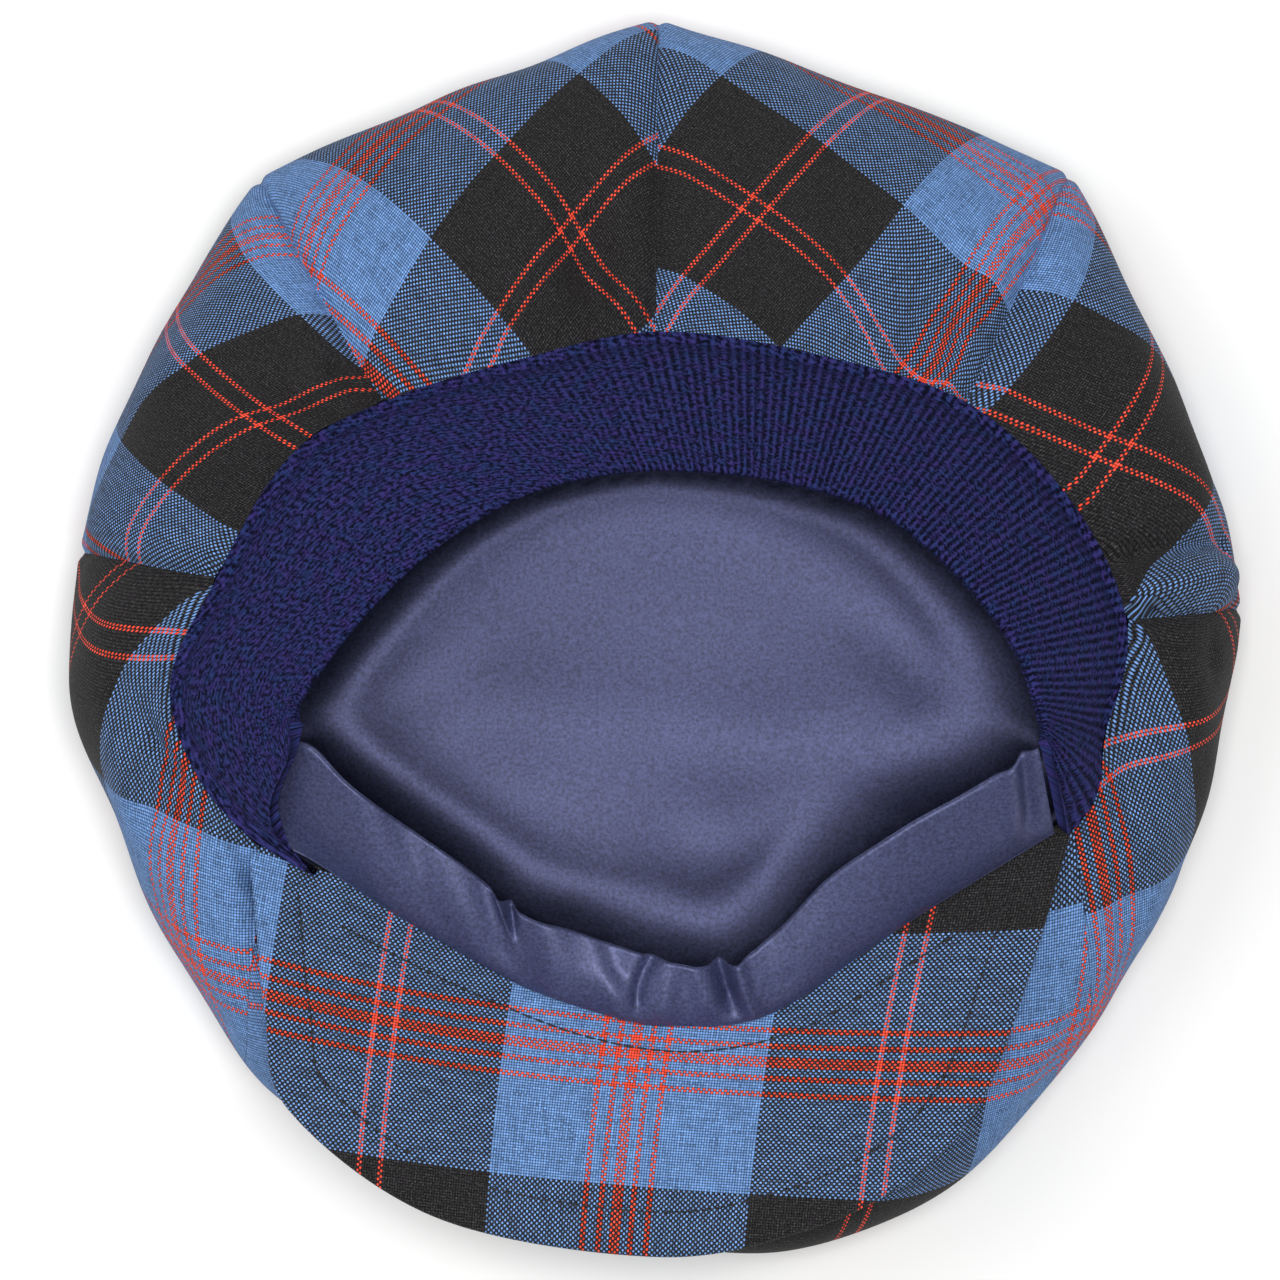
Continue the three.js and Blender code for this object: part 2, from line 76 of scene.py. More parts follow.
def gridFaces(shape, offset, wrap=False):
    # quads between neighbouring rows and columns of a grid of points
    rows, columns = shape
    index = offset + np.arange(rows * columns).reshape(rows, columns)
    if wrap:
        index = np.concatenate([index, index[:, :1]], 1)
    return np.stack([index[:-1, :-1], index[:-1, 1:], index[1:, 1:], index[1:, :-1]], -1).reshape(-1, 4)


def twoFans(pole, first, last):
    # triangles from each of two points to the ring round it, the second fan facing the other way
    return np.concatenate([np.stack([np.full(len(first), pole), np.roll(first, -1), first], -1),
                           np.stack([np.full(len(last), pole + 1), last, np.roll(last, -1)], -1)])


def makePiece(name, verts, faces, uv, material, nodes):
    # faces is a list of arrays, one for each number of corners. They are turned round where the
    # volume, the sum of a · (b × c) over their triangles, comes out negative.
    volume = sum(np.einsum("ij,ij->i", verts[f[:, 0]], np.cross(verts[f[:, k]], verts[f[:, k + 1]])).sum()
                 for f in faces for k in range(1, f.shape[1] - 1))
    if volume < 0:
        faces = [f[:, ::-1] for f in faces]
    loops = np.concatenate([f.ravel() for f in faces])
    sizes = np.concatenate([np.full(len(f), f.shape[1]) for f in faces])
    mesh = bpy.data.meshes.new(name)
    mesh.vertices.add(len(verts))
    mesh.vertices.foreach_set("co", (verts / 1000).ravel())
    mesh.loops.add(len(loops))
    mesh.loops.foreach_set("vertex_index", loops)
    mesh.polygons.add(len(sizes))
    mesh.polygons.foreach_set("loop_start", np.concatenate([[0], np.cumsum(sizes)[:-1]]))
    mesh.polygons.foreach_set("use_smooth", np.ones(len(sizes), bool))
    mesh.update(calc_edges=True)
    mesh.validate()
    layer = mesh.uv_layers.new(name="cloth")
    if uv is not None:
        layer.data.foreach_set("uv", uv.reshape(-1, 2)[loops].ravel())
    mesh.materials.append(material)
    piece = bpy.data.objects.new(name, mesh)
    bpy.context.scene.collection.objects.link(piece)
    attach(piece, "root")
    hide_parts(*nodes)
    return piece


def wallFaces(shape):
    # two grids of the same shape, face and back, closed along their edges
    count = shape[0] * shape[1]
    index = np.arange(count).reshape(shape)
    edge = np.concatenate([index[0, ::-1], index[1:, 0], index[-1, 1:], index[-2::-1, -1]])
    a, b = edge[:-1], edge[1:]
    rim = np.stack([b, a, a + count, b + count], -1)
    return [np.concatenate([gridFaces(shape, 0), gridFaces(shape, count)[:, ::-1], rim])]


def halfSurface(verts, faces):
    # one side of the cloth in square metres: half of a closed wall's triangles, |(b - a) × (c - a)| / 2 each
    area = 0
    for f in faces:
        for k in range(1, f.shape[1] - 1):
            first, second = verts[f[:, k]] - verts[f[:, 0]], verts[f[:, k + 1]] - verts[f[:, 0]]
            area += np.linalg.norm(np.cross(first, second), axis=1).sum() / 2
    return area / 2e6


def wallPiece(name, face, back, uv, material, nodes):
    # a wall of cloth between two grids of points, the same uv on both; gives back the piece and its area
    verts = np.concatenate([face.reshape(-1, 3), back.reshape(-1, 3)])
    faces = wallFaces(face.shape[:2])
    piece = makePiece(name, verts, faces, np.concatenate([uv.reshape(-1, 2)] * 2), material, nodes)
    return piece, halfSurface(verts, faces)


def smoothstep(low, high, x):
    # 3f² - 2f³, f the share of the way from low to high
    f = np.clip((x - low) / (high - low), 0, 1)
    return f * f * (3 - 2 * f)


def unit(v):
    # each vector divided by its own length
    return v / np.maximum(np.linalg.norm(v, axis=-1, keepdims=True), 1e-9)


def withZ(p, z):
    # the x and y of p with another z
    return np.concatenate([p[..., :2], np.broadcast_to(z, p.shape[:-1])[..., None]], -1)


def catmullRom(a, b, c, d, f):
    # b + f/2 (c - a + f (2a - 5b + 4c - d + f (3(b - c) + d - a))), from b at 0 to c at 1
    return b + 0.5 * f * (c - a + f * (2 * a - 5 * b + 4 * c - d + f * (3 * (b - c) + d - a)))


def throughRows(values, t, closed=False):
    # a Catmull-Rom curve through the rows of a table, row number t
    values, t = np.asarray(values, float), np.asarray(t, float)
    count = len(values)
    if closed:
        i = np.floor(t).astype(int)
        a, b, c, d = (values[(i + k) % count] for k in (-1, 0, 1, 2))
    else:
        i = np.clip(np.floor(t).astype(int), 0, count - 2)
        longer = np.concatenate([[2 * values[0] - values[1]], values, [2 * values[-1] - values[-2]]])
        a, b, c, d = (longer[i + k] for k in (0, 1, 2, 3))
    return catmullRom(a, b, c, d, (t - i)[..., None] if values.ndim > 1 else t - i)


def straightAcross(sheet, t):
    # how far the edges of a strip are apart at t
    return np.linalg.norm(sheet(t, np.ones_like(t)) - sheet(t, np.zeros_like(t)), axis=-1)


def towardsFold(turn, even, bent):
    # shares across a strip: even up to the turn, then crowding into the fold as a sine does at its top
    fold = turn + (1 - turn) * np.sin(np.linspace(0, np.pi / 2, bent))
    return np.concatenate([np.linspace(0, turn, even)[:-1], fold])


def bezier(a, b, c, d, f):
    # a cubic curve from a to d, its handles at b and c
    f = f[..., None]
    return a * (1 - f) ** 3 + 3 * b * f * (1 - f) ** 2 + 3 * c * f * f * (1 - f) + d * f ** 3


# The crown, as it is in the solids. mouth: x, y, z and roll of the mouth's edge, a row at each
# seam and each panel's middle from the right seam to the left; widest: x, y of the widest
# line, a row at each seam and three between seams.
crown = {
    "mouth": np.array([
        (106.8, 3.6, 60, 5), (94.5, 30.6, 60, 4), (70.8, 53.1, 60, 3), (36.0, 64.3, 60, 4),
        (0.2, 69.3, 60, 3), (-31.5, 62.8, 60, 5), (-61.9, 53.1, 60, 7), (-83.3, 40.7, 60, 9),
        (-99.7, 13.0, 60, 4), (-109.4, -15.5, 60, 3), (-88.2, -48.0, 60.6, 1), (-39.4, -71.9, 55.8, 0),
        (7.9, -85.6, 55.8, 0), (52.9, -67.4, 55.7, 0), (94.2, -41.7, 58.9, 1), (103.1, -20.0, 60, 3)]),
    "widest": np.array([
        (135.4, 6.0), (129.8, 32.0), (120.2, 56.5), (108.9, 80.8), (96.0, 106.4), (71.9, 116.6), (48.7, 125.4),
        (25.5, 133.9), (0.8, 142.3), (-23.6, 133.7), (-46.4, 125.0), (-68.7, 115.7), (-91.7, 105.4),
        (-104.8, 84.3), (-116.6, 63.6), (-126.5, 42.2), (-132.9, 19.4), (-134.2, -12.7), (-123.4, -42.7),
        (-110.8, -71.3), (-93.7, -98.3), (-74.0, -115.9), (-52.0, -130.2), (-26.6, -137.4), (1.0, -141.2),
        (29.9, -141.4), (58.6, -132.4), (82.0, -113.7), (99.9, -90.8), (113.9, -68.7), (124.3, -45.0),
        (130.5, -20.0)]),
    "widestHeight": 28.0,
    "liftShare": 0.76,  # where the cloth leaves the floor, as a share of the widest line's reach
    "handles": (0.55, 0.62, 0.42),  # how full the curve is: below the widest line, above it, at the mouth
    "halfPanel": (54, 33),  # mm across half a panel at the widest line and at the mouth
    "hubRadius": 3.2,
    "dimple": (5.0, 9, 27),  # height, inner and outer radius
    "puff": 3.0,
    "seamPinch": (1.5, 5.0),  # depth, width
    "flatSeams": (10, 14),  # the seams that are pressed flat, beside the peak's two ends
    "wall": 1.4,
    "layGap": 0.3,
    "softness": 0.35,  # how softly the cloth meets the floor and the peak
    "underPeak": (20, 45),  # mm towards the front between which the peak begins to press on it
    "peakSink": 2.2,  # how far the soft cloth sinks beside the peak's edge
    "sinkFrom": (45, 62),  # mm towards the front between which that begins
    # where each gather starts at the mouth and ends at the widest line, depth, width, share reached
    "gathers": [
        (4.36, 4.55, -5, 6, 0.5), (4.8, 4.8, 2.5, 12, 0.6), (2.42, 2.3, -4, 5, 0.4), (2.2, 2.1, 2, 5, 0.9),
        (0.46, 0.3, -4, 6, 1.0), (0.24, 0.14, 2, 6, 1.0), (6.5, 6.9, -3, 9, 0.7), (9.4, 8.9, -3, 6, 0.7)],
    "seamGroove": (1.4, 1.4),  # the cloth turned in at each seam: depth, width
    "seamValley": (1.0, 5.0),  # how the seam draws the cloth in: depth, width
    "curl": 1.2,  # how far the cloth's edge rolls over the band
    # smaller creases: ring place and share at both ends, height (minus is a valley), width
    "creases": [
        (4.54, 0.75, 4.36, 0.99, -2.2, 4.5), (4.24, 0.92, 4.16, 1, 1.8, 3.5),
        (2.48, 0.92, 2.39, 1, -2.6, 2.6), (2.56, 0.95, 2.51, 1, 1.2, 4), (6.96, 0.52, 6.64, 0.98, -2.2, 5),
        (6.76, 0.49, 6.48, 0.83, 1.4, 8), (6.19, 0.87, 6.04, 1, -2.4, 2.2),
        (6.53, 0.86, 6.24, 0.99, 1.6, 5), (0.44, 0.92, 0.29, 0.22, -2.4, 3.2),
        (0.23, 0.93, 0.14, 0.27, 1.8, 7), (-0.18, 0.95, -0.21, 0.45, -1.6, 5),
        (9.86, 0.98, 9.96, 0.86, -2.6, 3.5), (9.96, 0.86, 10.05, 0.67, -2.6, 3.5),
        (8.98, 0.79, 9.27, 0.89, -2.2, 3), (8.68, 0.65, 8.99, 0.80, -1.2, 5),
        (3.79, 0.57, 3.37, 0.90, 0.8, 14), (3.21, 0.34, 2.65, 0.71, -0.8, 12),
        (4.89, 0.34, 4.78, 0.77, -0.8, 12), (5.26, 0.48, 5.24, 0.90, 0.8, 12),
        (1.71, 0.64, 1.15, 0.65, -1, 9), (1.16, 0.42, 0.70, 0.43, 0.9, 12),
        (1.80, 0.90, 1.15, 0.92, 0.9, 9), (7.44, 0.41, 7.65, 0.83, -0.9, 9),
        (9.59, 0.64, 9.91, 0.67, 0.9, 9), (14.38, 0.85, 14.30, 0.25, -0.9, 8),
        (15.40, 0.83, 15.25, 0.45, -0.8, 10), (14.10, 0.82, 14, 0.31, 0.9, 8),
        (13.66, 0.18, 13.86, 0.37, -1, 7)],
    "creaseScale": (40, 70),  # mm for one ring place and for the whole share, along a crease
    "rumple": 0.35,  # height of the slight unevenness all over
}

# The peak, as it is in the solids: it rises away from the mouth and curls up at its sides
peakShape = {
    "thickness": 3.4, "rootHeight": 58.5, "rootY": -83.9, "rise": 0.2, "arch": 0.0015, "archX": 4.0,
    # rootX, rootY, edgeX, edgeY from the left end to the right
    "rows": np.array([
        (-88.1, -47.0, -91.0, -49.6), (-69.6, -54.8, -89.3, -66.1), (-50.6, -65.0, -87.2, -84.4),
        (-32.7, -73.4, -81.5, -106.0), (-12.4, -81.0, -48.6, -130.0), (7.9, -83.9, 0.0, -138.9),
        (28.2, -79.9, 33.0, -133.2), (46.2, -69.6, 57.5, -121.2), (61.8, -59.4, 72.8, -104.4),
        (77.3, -50.7, 83.2, -78.2), (92.4, -41.2, 93.6, -43.8)]),
}


def fromFlatSeam(t):
    # ring places from the nearer of the two flat seams
    return np.minimum(*(np.abs(t - seam) for seam in crown["flatSeams"]))


def widestPoint(t):
    # Catmull-Rom through each panel's five rows, with a corner at each seam but the flat ones
    panel = np.floor(t / 2).astype(int)
    sides = np.stack([crown["widest"][np.arange(4 * k, 4 * k + 5) % 32] for k in range(8)])
    sides = np.concatenate([2 * sides[:, :1] - sides[:, 1:2], sides, 2 * sides[:, -1:] - sides[:, -2:-1]], 1)
    along = 2 * (t - 2 * panel)
    i = np.clip(np.floor(along).astype(int), 0, 3)
    f = (along - i)[..., None]
    a, b, c, d = (sides[panel % 8, i + k] for k in range(4))
    xy = np.where((fromFlatSeam(t) < 0.5)[..., None], throughRows(crown["widest"], 2 * t, True),
                  catmullRom(a, b, c, d, f))
    return withZ(xy, crown["widestHeight"])


def meridian(widest, mouth, floorHeight, roll, station, dimple=crown["dimple"]):
    # station 0 to 1 the floor, 1 to 2 a quarter turn up to the widest line, 2 to 3 back over to the mouth
    height, inner, outer = dimple
    below, above, atMouth = crown["handles"]
    edge = withZ(widest * crown["liftShare"], floorHeight)
    reach = np.hypot(edge[..., 0], edge[..., 1])
    radius = crown["hubRadius"] + (reach - crown["hubRadius"]) * np.clip(station, 0, 1)
    domed = floorHeight + height * (1 - smoothstep(inner, outer, radius))
    onFloor = withZ(edge * (radius / reach)[..., None], domed)
    low = widest[..., 2] + (floorHeight - widest[..., 2]) * below
    rising = bezier(edge, withZ(edge + below * (widest - edge), floorHeight), withZ(widest, low), widest,
                    np.clip(station - 1, 0, 1))
    rise = (mouth[..., 2] - widest[..., 2]) * above
    over = bezier(widest, withZ(widest, widest[..., 2] + rise),
                  withZ(mouth + atMouth * (widest - mouth), mouth[..., 2] + roll), mouth,
                  np.clip(station - 2, 0, 1))
    s = station[..., None]
    return np.where(s <= 1, onFloor, np.where(s <= 2, rising, over))


def mouthPoint(t):
    # the mouth's edge at ring place t, a closed curve through its rows
    return throughRows(crown["mouth"][:, :3], t, True)


def smoothCrown(t, station):
    # the meridian at ring place t, without relief
    return meridian(widestPoint(t), mouthPoint(t), 0.0, throughRows(crown["mouth"][:, 3], t, True), station)


def inward(surface, t, station, step=0.02):
    # cross product of the differences along the meridian and along the ring
    alongRing = surface(t + step, station) - surface(t - step, station)
    alongMeridian = surface(t, np.minimum(station + step, 3)) - surface(t, np.maximum(station - step, 0))
    return unit(np.cross(alongMeridian, alongRing))


def halfPanel(share):
    # mm across half a panel, evenly narrower from the widest line to the mouth
    wide, narrow = crown["halfPanel"]
    return wide + (narrow - wide) * share


def clothRelief(t, station):
    # puff (1 - u²) sin²(pi share), less a Gaussian pinch at each seam, plus a Gaussian for each gather
    share = np.maximum(station - 2, 0)
    u = t - 2 * np.floor(t / 2) - 1
    perRow = halfPanel(share)
    depth, width = crown["seamPinch"]
    depth = depth * smoothstep(0.2, 0.9, fromFlatSeam(t))
    relief = crown["puff"] * (1 - u * u) * np.sin(np.pi * share) ** 2
    relief = relief - smoothstep(0, 0.15, share) * depth * np.exp(-((1 - np.abs(u)) * perRow / width) ** 2)
    for mouthAt, widestAt, depth, width, reach in crown["gathers"]:
        away = (t - (widestAt + (mouthAt - widestAt) * share)) * perRow
        strength = (1 - 0.75 * smoothstep(0.82, 1, share)) * smoothstep(1 - reach, 1 - 0.3 * reach, share)
        relief = relief + depth * strength * np.exp(-(away / width) ** 2)
    return relief


def peakHeight(x, y):
    # the peak's upper face: rootHeight - rise (y - rootY) + arch (x - archX)²
    p = peakShape
    return p["rootHeight"] - p["rise"] * (y - p["rootY"]) + p["arch"] * (x - p["archX"]) ** 2


def crownPoint(t, station, extra=0.0):
    # the smooth crown moved out by its relief, then softly kept under the peak and above the floor
    t = np.mod(t, 16)
    point = smoothCrown(t, station)
    lifted = point - inward(smoothCrown, t, station) * (clothRelief(t, station) + extra)[..., None]
    point = np.where(station[..., None] > 1, lifted, point)
    ceiling = peakHeight(point[..., 0], point[..., 1]) - peakShape["thickness"] - crown["layGap"]
    soft = -crown["softness"] * np.logaddexp(-point[..., 2] / crown["softness"], -ceiling / crown["softness"])
    z = point[..., 2] + (soft - point[..., 2]) * smoothstep(*crown["underPeak"], -point[..., 1])
    z = z - crown["peakSink"] * smoothstep(*crown["sinkFrom"], -point[..., 1]) * smoothstep(-3, 0, z - ceiling)
    return withZ(point, np.where(station > 1, np.maximum(z, 0), point[..., 2]))


# Tartan: a plain weave of 0.62 mm threads, the same sett in warp and weft, mirrored at the
# middle of the blue and of the black. Each colour starts at a thread counted from the blue's middle.
tartan = {
    "thread": 0.62,
    "halfRepeat": 94,
    "sett": [(0, "red"), (2, "blue"), (5, "red"), (7, "blue"), (11, "red"), (13, "blue"), (49, "black"),
             (88.5, "red"), (90.5, "black")],
    "blue": "#668CC2",
    "red": "#EE4A33",
    "black": "#232123",
    "gap": 0.32,  # painted shade: the darker thread scaled down to this, seen between the threads
    "fibreGlint": 0.07,  # painted highlight: light that a single fibre catching it adds to the colour
}


def tartanCloth():
    # worsted plain weave: matt, with each thread rounded and a soft bloom at grazing angles
    material, tree = newMaterial("worsted tartan")
    uv = addNode(tree, "UVMap", uv_map="cloth")
    separate = addNode(tree, "SeparateXYZ", uv).node
    u, v = separate.outputs[0], separate.outputs[1]
    i = addNode(tree, "Math", u, operation="FLOOR")
    j = addNode(tree, "Math", v, operation="FLOOR")
    colours = []
    for index in (i, j):
        middle = addNode(tree, "Math", index, 0.5, operation="ADD")
        place = addNode(tree, "Math", middle, float(tartan["halfRepeat"]), operation="PINGPONG")
        share = addNode(tree, "Math", place, float(tartan["halfRepeat"]), operation="DIVIDE")
        ramp = addNode(tree, "ValToRGB", share).node
        ramp.color_ramp.interpolation = "CONSTANT"
        stops = ramp.color_ramp.elements
        while len(stops) < len(tartan["sett"]):
            stops.new(0.5)
        for stop, (start, colour) in zip(stops, tartan["sett"]):
            stop.position = start / tartan["halfRepeat"]
            stop.color = srgb(tartan[colour])
        colours.append(ramp.outputs[0])
    # plain weave: warp on top where i + j is even, weft where it is odd; height (1 - 3.4 w²)(1 - 2.2 l²)
    both = addNode(tree, "Math", i, j, operation="ADD")
    parity = addNode(tree, "Math", both, 2.0, operation="FLOORED_MODULO")
    across, along = (addNode(tree, "Math", addNode(tree, "Math", place, thread, operation="SUBTRACT"), 0.5,
                             operation="SUBTRACT") for place, thread in ((u, i), (v, j)))
    width = addNode(tree, "Mix", parity, None, across, along, data_type="FLOAT")
    length = addNode(tree, "Mix", parity, None, along, across, data_type="FLOAT")
    widthSq = addNode(tree, "Math", width, width, operation="MULTIPLY")
    lengthSq = addNode(tree, "Math", length, length, operation="MULTIPLY")
    roundWide = addNode(tree, "Math", widthSq, -3.4, 1.0, operation="MULTIPLY_ADD")
    roundLong = addNode(tree, "Math", lengthSq, -2.2, 1.0, operation="MULTIPLY_ADD")
    height = addNode(tree, "Math", roundWide, roundLong, operation="MULTIPLY")
    top = addNode(tree, "Mix", parity, named={6: colours[0], 7: colours[1]}, data_type="RGBA", output=2)
    under = addNode(tree, "Mix", parity, named={6: colours[1], 7: colours[0]}, data_type="RGBA", output=2)
    # painted shade: where the threads' rounded height is low, between their tops, the darker thread is
    # darkened to stand for the shadow there
    darker = addNode(tree, "VectorMath", top, under, operation="MINIMUM")
    paintedGapShade = addNode(tree, "VectorMath", darker, named={"Scale": tartan["gap"]}, operation="SCALE")
    cover = addNode(tree, "MapRange", height, 0.2, 0.82, 0.0, 1.0, interpolation_type="SMOOTHSTEP")
    woven = addNode(tree, "Mix", cover, named={6: paintedGapShade, 7: top}, data_type="RGBA", output=2)
    # slubs: thickness and shade drift along each thread
    threadAlong = addNode(tree, "Mix", parity, None, v, u, data_type="FLOAT")
    threadNumber = addNode(tree, "Mix", parity, None, i, j, data_type="FLOAT")
    drift = addNode(tree, "CombineXYZ", addNode(tree, "Math", threadNumber, 7.31, operation="MULTIPLY"),
                    addNode(tree, "Math", threadAlong, 0.11, operation="MULTIPLY"), parity)
    slub = addNode(tree, "TexNoise", drift, named={"Scale": 1.0, "Detail": 2.0, "Roughness": 0.6})
    shade = addNode(tree, "MapRange", slub, 0.3, 0.7, 0.55, 1.45)
    # painted light and shade: each thread's colour goes from 0.45 down its sides to 1.32 on its rounded top,
    # by its height
    lift = addNode(tree, "MapRange", height, 0.1, 1.0, 0.45, 1.32)
    tone = addNode(tree, "Math", shade, lift, operation="MULTIPLY")
    colour = addNode(tree, "VectorMath", woven, named={"Scale": tone}, operation="SCALE")
    # painted highlight: grey added where single fibres catch the light on the threads' tops, seen most on the
    # black
    fibreGlint = addNode(tree, "TexNoise", uv, named={"Scale": 1.3, "Detail": 1.0})
    fibreGlint = addNode(tree, "MapRange", fibreGlint, 0.5, 0.75, 0.0, tartan["fibreGlint"])
    fibreGlint = addNode(tree, "Math", fibreGlint, height, operation="MULTIPLY")
    colour = addNode(tree, "VectorMath", colour, fibreGlint, operation="ADD")
    bump = addNode(tree, "Bump", named={"Strength": 0.5, "Distance": 0.00018, "Height": height})
    shader = addNode(tree, "BsdfPrincipled", named={
        "Base Color": colour, "Roughness": 0.88, "Specular IOR Level": 0.16, "Sheen Weight": 0.04,
        "Sheen Roughness": 0.5, "Normal": bump})
    addNode(tree, "OutputMaterial", shader)
    return material


knit = {
    # dark is painted shade between the loops; violet and teal are the yarn's own colours
    "dark": "#03031A", "violet": "#352D6C", "teal": "#263569",
    "ribPitch": 1.85, "rowPitch": 1.05,
    "fade": (68.0, 100.0),  # the ribs between which they flatten out towards the left end
}


def ribKnit():
    # wool rib: matt and fuzzy, small loops in navy yarn that drifts between violet and teal, with painted
    # shade down between the loops
    material, tree = newMaterial("navy wool rib knit")
    separate = addNode(tree, "SeparateXYZ", addNode(tree, "UVMap", uv_map="cloth")).node
    rib, row = separate.outputs[0], separate.outputs[1]
    place = addNode(tree, "CombineXYZ", addNode(tree, "Math", rib, knit["ribPitch"], operation="MULTIPLY"),
                    addNode(tree, "Math", row, knit["rowPitch"], operation="MULTIPLY"))
    loops = addNode(tree, "TexNoise", place, named={"Scale": 0.95, "Detail": 2.0, "Roughness": 0.6})
    fibre = addNode(tree, "TexNoise", place, named={"Scale": 3.4, "Detail": 2.0, "Roughness": 0.7})
    wander = addNode(tree, "TexNoise", place, named={"Scale": 0.3, "Detail": 1.0})
    column = addNode(tree, "Math", rib, 2 * np.pi, operation="MULTIPLY")
    ridge = addNode(tree, "Math", column, operation="COSINE")
    course = addNode(tree, "Math", wander, 1.6, row, operation="MULTIPLY_ADD")
    course = addNode(tree, "Math", rib, 0.5, course, operation="MULTIPLY_ADD")
    course = addNode(tree, "Math", course, 2 * np.pi, operation="MULTIPLY")
    course = addNode(tree, "Math", course, operation="SINE")
    ribStrength = addNode(tree, "MapRange", rib, *knit["fade"], 0.26, 0.05)
    height = addNode(tree, "Math", addNode(tree, "Math", loops, 0.5, operation="SUBTRACT"), 2.6, 0.5,
                     operation="MULTIPLY_ADD")
    height = addNode(tree, "Math", addNode(tree, "Math", fibre, 0.5, operation="SUBTRACT"), 1.1, height,
                     operation="MULTIPLY_ADD")
    height = addNode(tree, "Math", course, 0.15, height, operation="MULTIPLY_ADD")
    height = addNode(tree, "Math", ridge, ribStrength, height, operation="MULTIPLY_ADD")
    # painted shade: the loops' low places go to the near-black dark, their tops take the yarn's colour
    share = addNode(tree, "MapRange", height, 0.22, 0.86, 0.0, 1.0)
    hue = addNode(tree, "MapRange", wander, 0.35, 0.65, 0.0, 1.0)
    light = addNode(tree, "Mix", hue, named={6: srgb(knit["violet"]), 7: srgb(knit["teal"])},
                    data_type="RGBA", output=2)
    colour = addNode(tree, "Mix", share, named={6: srgb(knit["dark"]), 7: light}, data_type="RGBA", output=2)
    bump = addNode(tree, "Bump", named={"Strength": 0.6, "Distance": 0.0004, "Height": height})
    shader = addNode(tree, "BsdfPrincipled", named={
        "Base Color": colour, "Roughness": 0.95, "Specular IOR Level": 0.15, "Sheen Weight": 0.12,
        "Sheen Roughness": 0.6, "Sheen Tint": srgb("#3A3D80"), "Normal": bump})
    addNode(tree, "OutputMaterial", shader)
    return material


# Satin by the way it is cut: colour, roughness, metallic share
satin = {"slate satin": ("#2A2D46", 0.45, 0.75), "slate satin cut across": ("#474C70", 0.52, 0.4)}


def satinCloth(name):
    # polyester satin: long floats mirror softly along the grain, and look matt where it is cut across
    ground, roughness, metallic = satin[name]
    material, tree = newMaterial(name)
    place = addNode(tree, "TexCoord", output="Object")
    grain = addNode(tree, "TexNoise", place, named={"Scale": 1300.0, "Detail": 2.0, "Roughness": 0.7})
    cloud = addNode(tree, "TexNoise", place, named={"Scale": 22.0, "Detail": 2.0})
    tone = addNode(tree, "MapRange", grain, 0.3, 0.7, 0.58, 1.42)
    drift = addNode(tree, "MapRange", cloud, 0.3, 0.7, 0.93, 1.07)
    tone = addNode(tree, "Math", tone, drift, operation="MULTIPLY")
    colour = addNode(tree, "VectorMath", srgb(ground)[:3], named={"Scale": tone}, operation="SCALE")
    bump = addNode(tree, "Bump", named={"Strength": 0.12, "Distance": 0.0002, "Height": grain})
    shader = addNode(tree, "BsdfPrincipled", named={
        "Base Color": colour, "Roughness": roughness, "Metallic": metallic, "Specular IOR Level": 0.5,
        "Normal": bump})
    addNode(tree, "OutputMaterial", shader)
    return material


def sewingThread():
    # polyester sewing thread: near black, twisted, with a slight shine
    material, tree = newMaterial("dark sewing thread")
    twist = addNode(tree, "TexNoise", addNode(tree, "TexCoord", output="Object"), named={"Scale": 900.0})
    colour = addNode(tree, "Mix", twist, named={6: srgb("#050508"), 7: srgb("#1E1E26")},
                     data_type="RGBA", output=2)
    shader = addNode(tree, "BsdfPrincipled", named={"Base Color": colour, "Roughness": 0.6})
    addNode(tree, "OutputMaterial", shader)
    return material


tartanMaterial, knitMaterial, threadMaterial = tartanCloth(), ribKnit(), sewingThread()
satinMaterial, acrossMaterial = (satinCloth(name) for name in satin)
print("materials made")

# How each panel is cut from the tartan. w runs along the ring from the panel's middle and s
# along the meridian from the widest line to the mouth, both in mm over the cloth. Warp and
# weft place, in mm: c0 + c1 w + c2 s + (c3 w² + c4 w s + c5 s²) / 50, the last two terms only for s above 0.
panelCut = {
    "right_back": ([75.3, -0.869, -0.508, -0.087, -0.047, 0.185],
                   [91.2, 0.674, -0.766, -0.023, -0.018, -0.007]),
    "back_right": ([53.3, -1.008, 0.415, 0.130, -0.104, 0.072],
                   [121.3, -0.436, -0.903, -0.051, 0.085, -0.140]),
    "back_left": ([-2.2, -0.603, 0.814, -0.025, -0.021, 0.018],
                  [68.2, -0.920, -0.559, 0.020, -0.081, 0.031]),
    "left_back": ([1.4, 0.485, 0.969, -0.053, 0.328, 0.160],
                  [44.2, -0.992, 0.349, 0.073, -0.133, -0.168]),
    "left_front": ([-36.6, 0.719, 0.652, -0.015, -0.030, -0.121],
                   [12.4, -0.699, 0.707, 0.047, -0.028, -0.010]),
    "front_left": ([42.5, 0.673, 0.538, 0.0, 0.0, 0.0],
                   [-58.1, -0.593, 0.667, 0.0, 0.0, 0.0]),
    "front_right": ([-42.2, 0.882, -0.320, -0.121, 0.063, 0.128],
                    [-41.8, 0.428, 0.920, 0.123, 0.027, -0.002]),
    "right_front": ([41.5, 0.657, -0.675, -0.114, -0.086, 0.149],
                    [26.9, 0.730, 0.646, 0.151, 0.080, 0.027]),
}
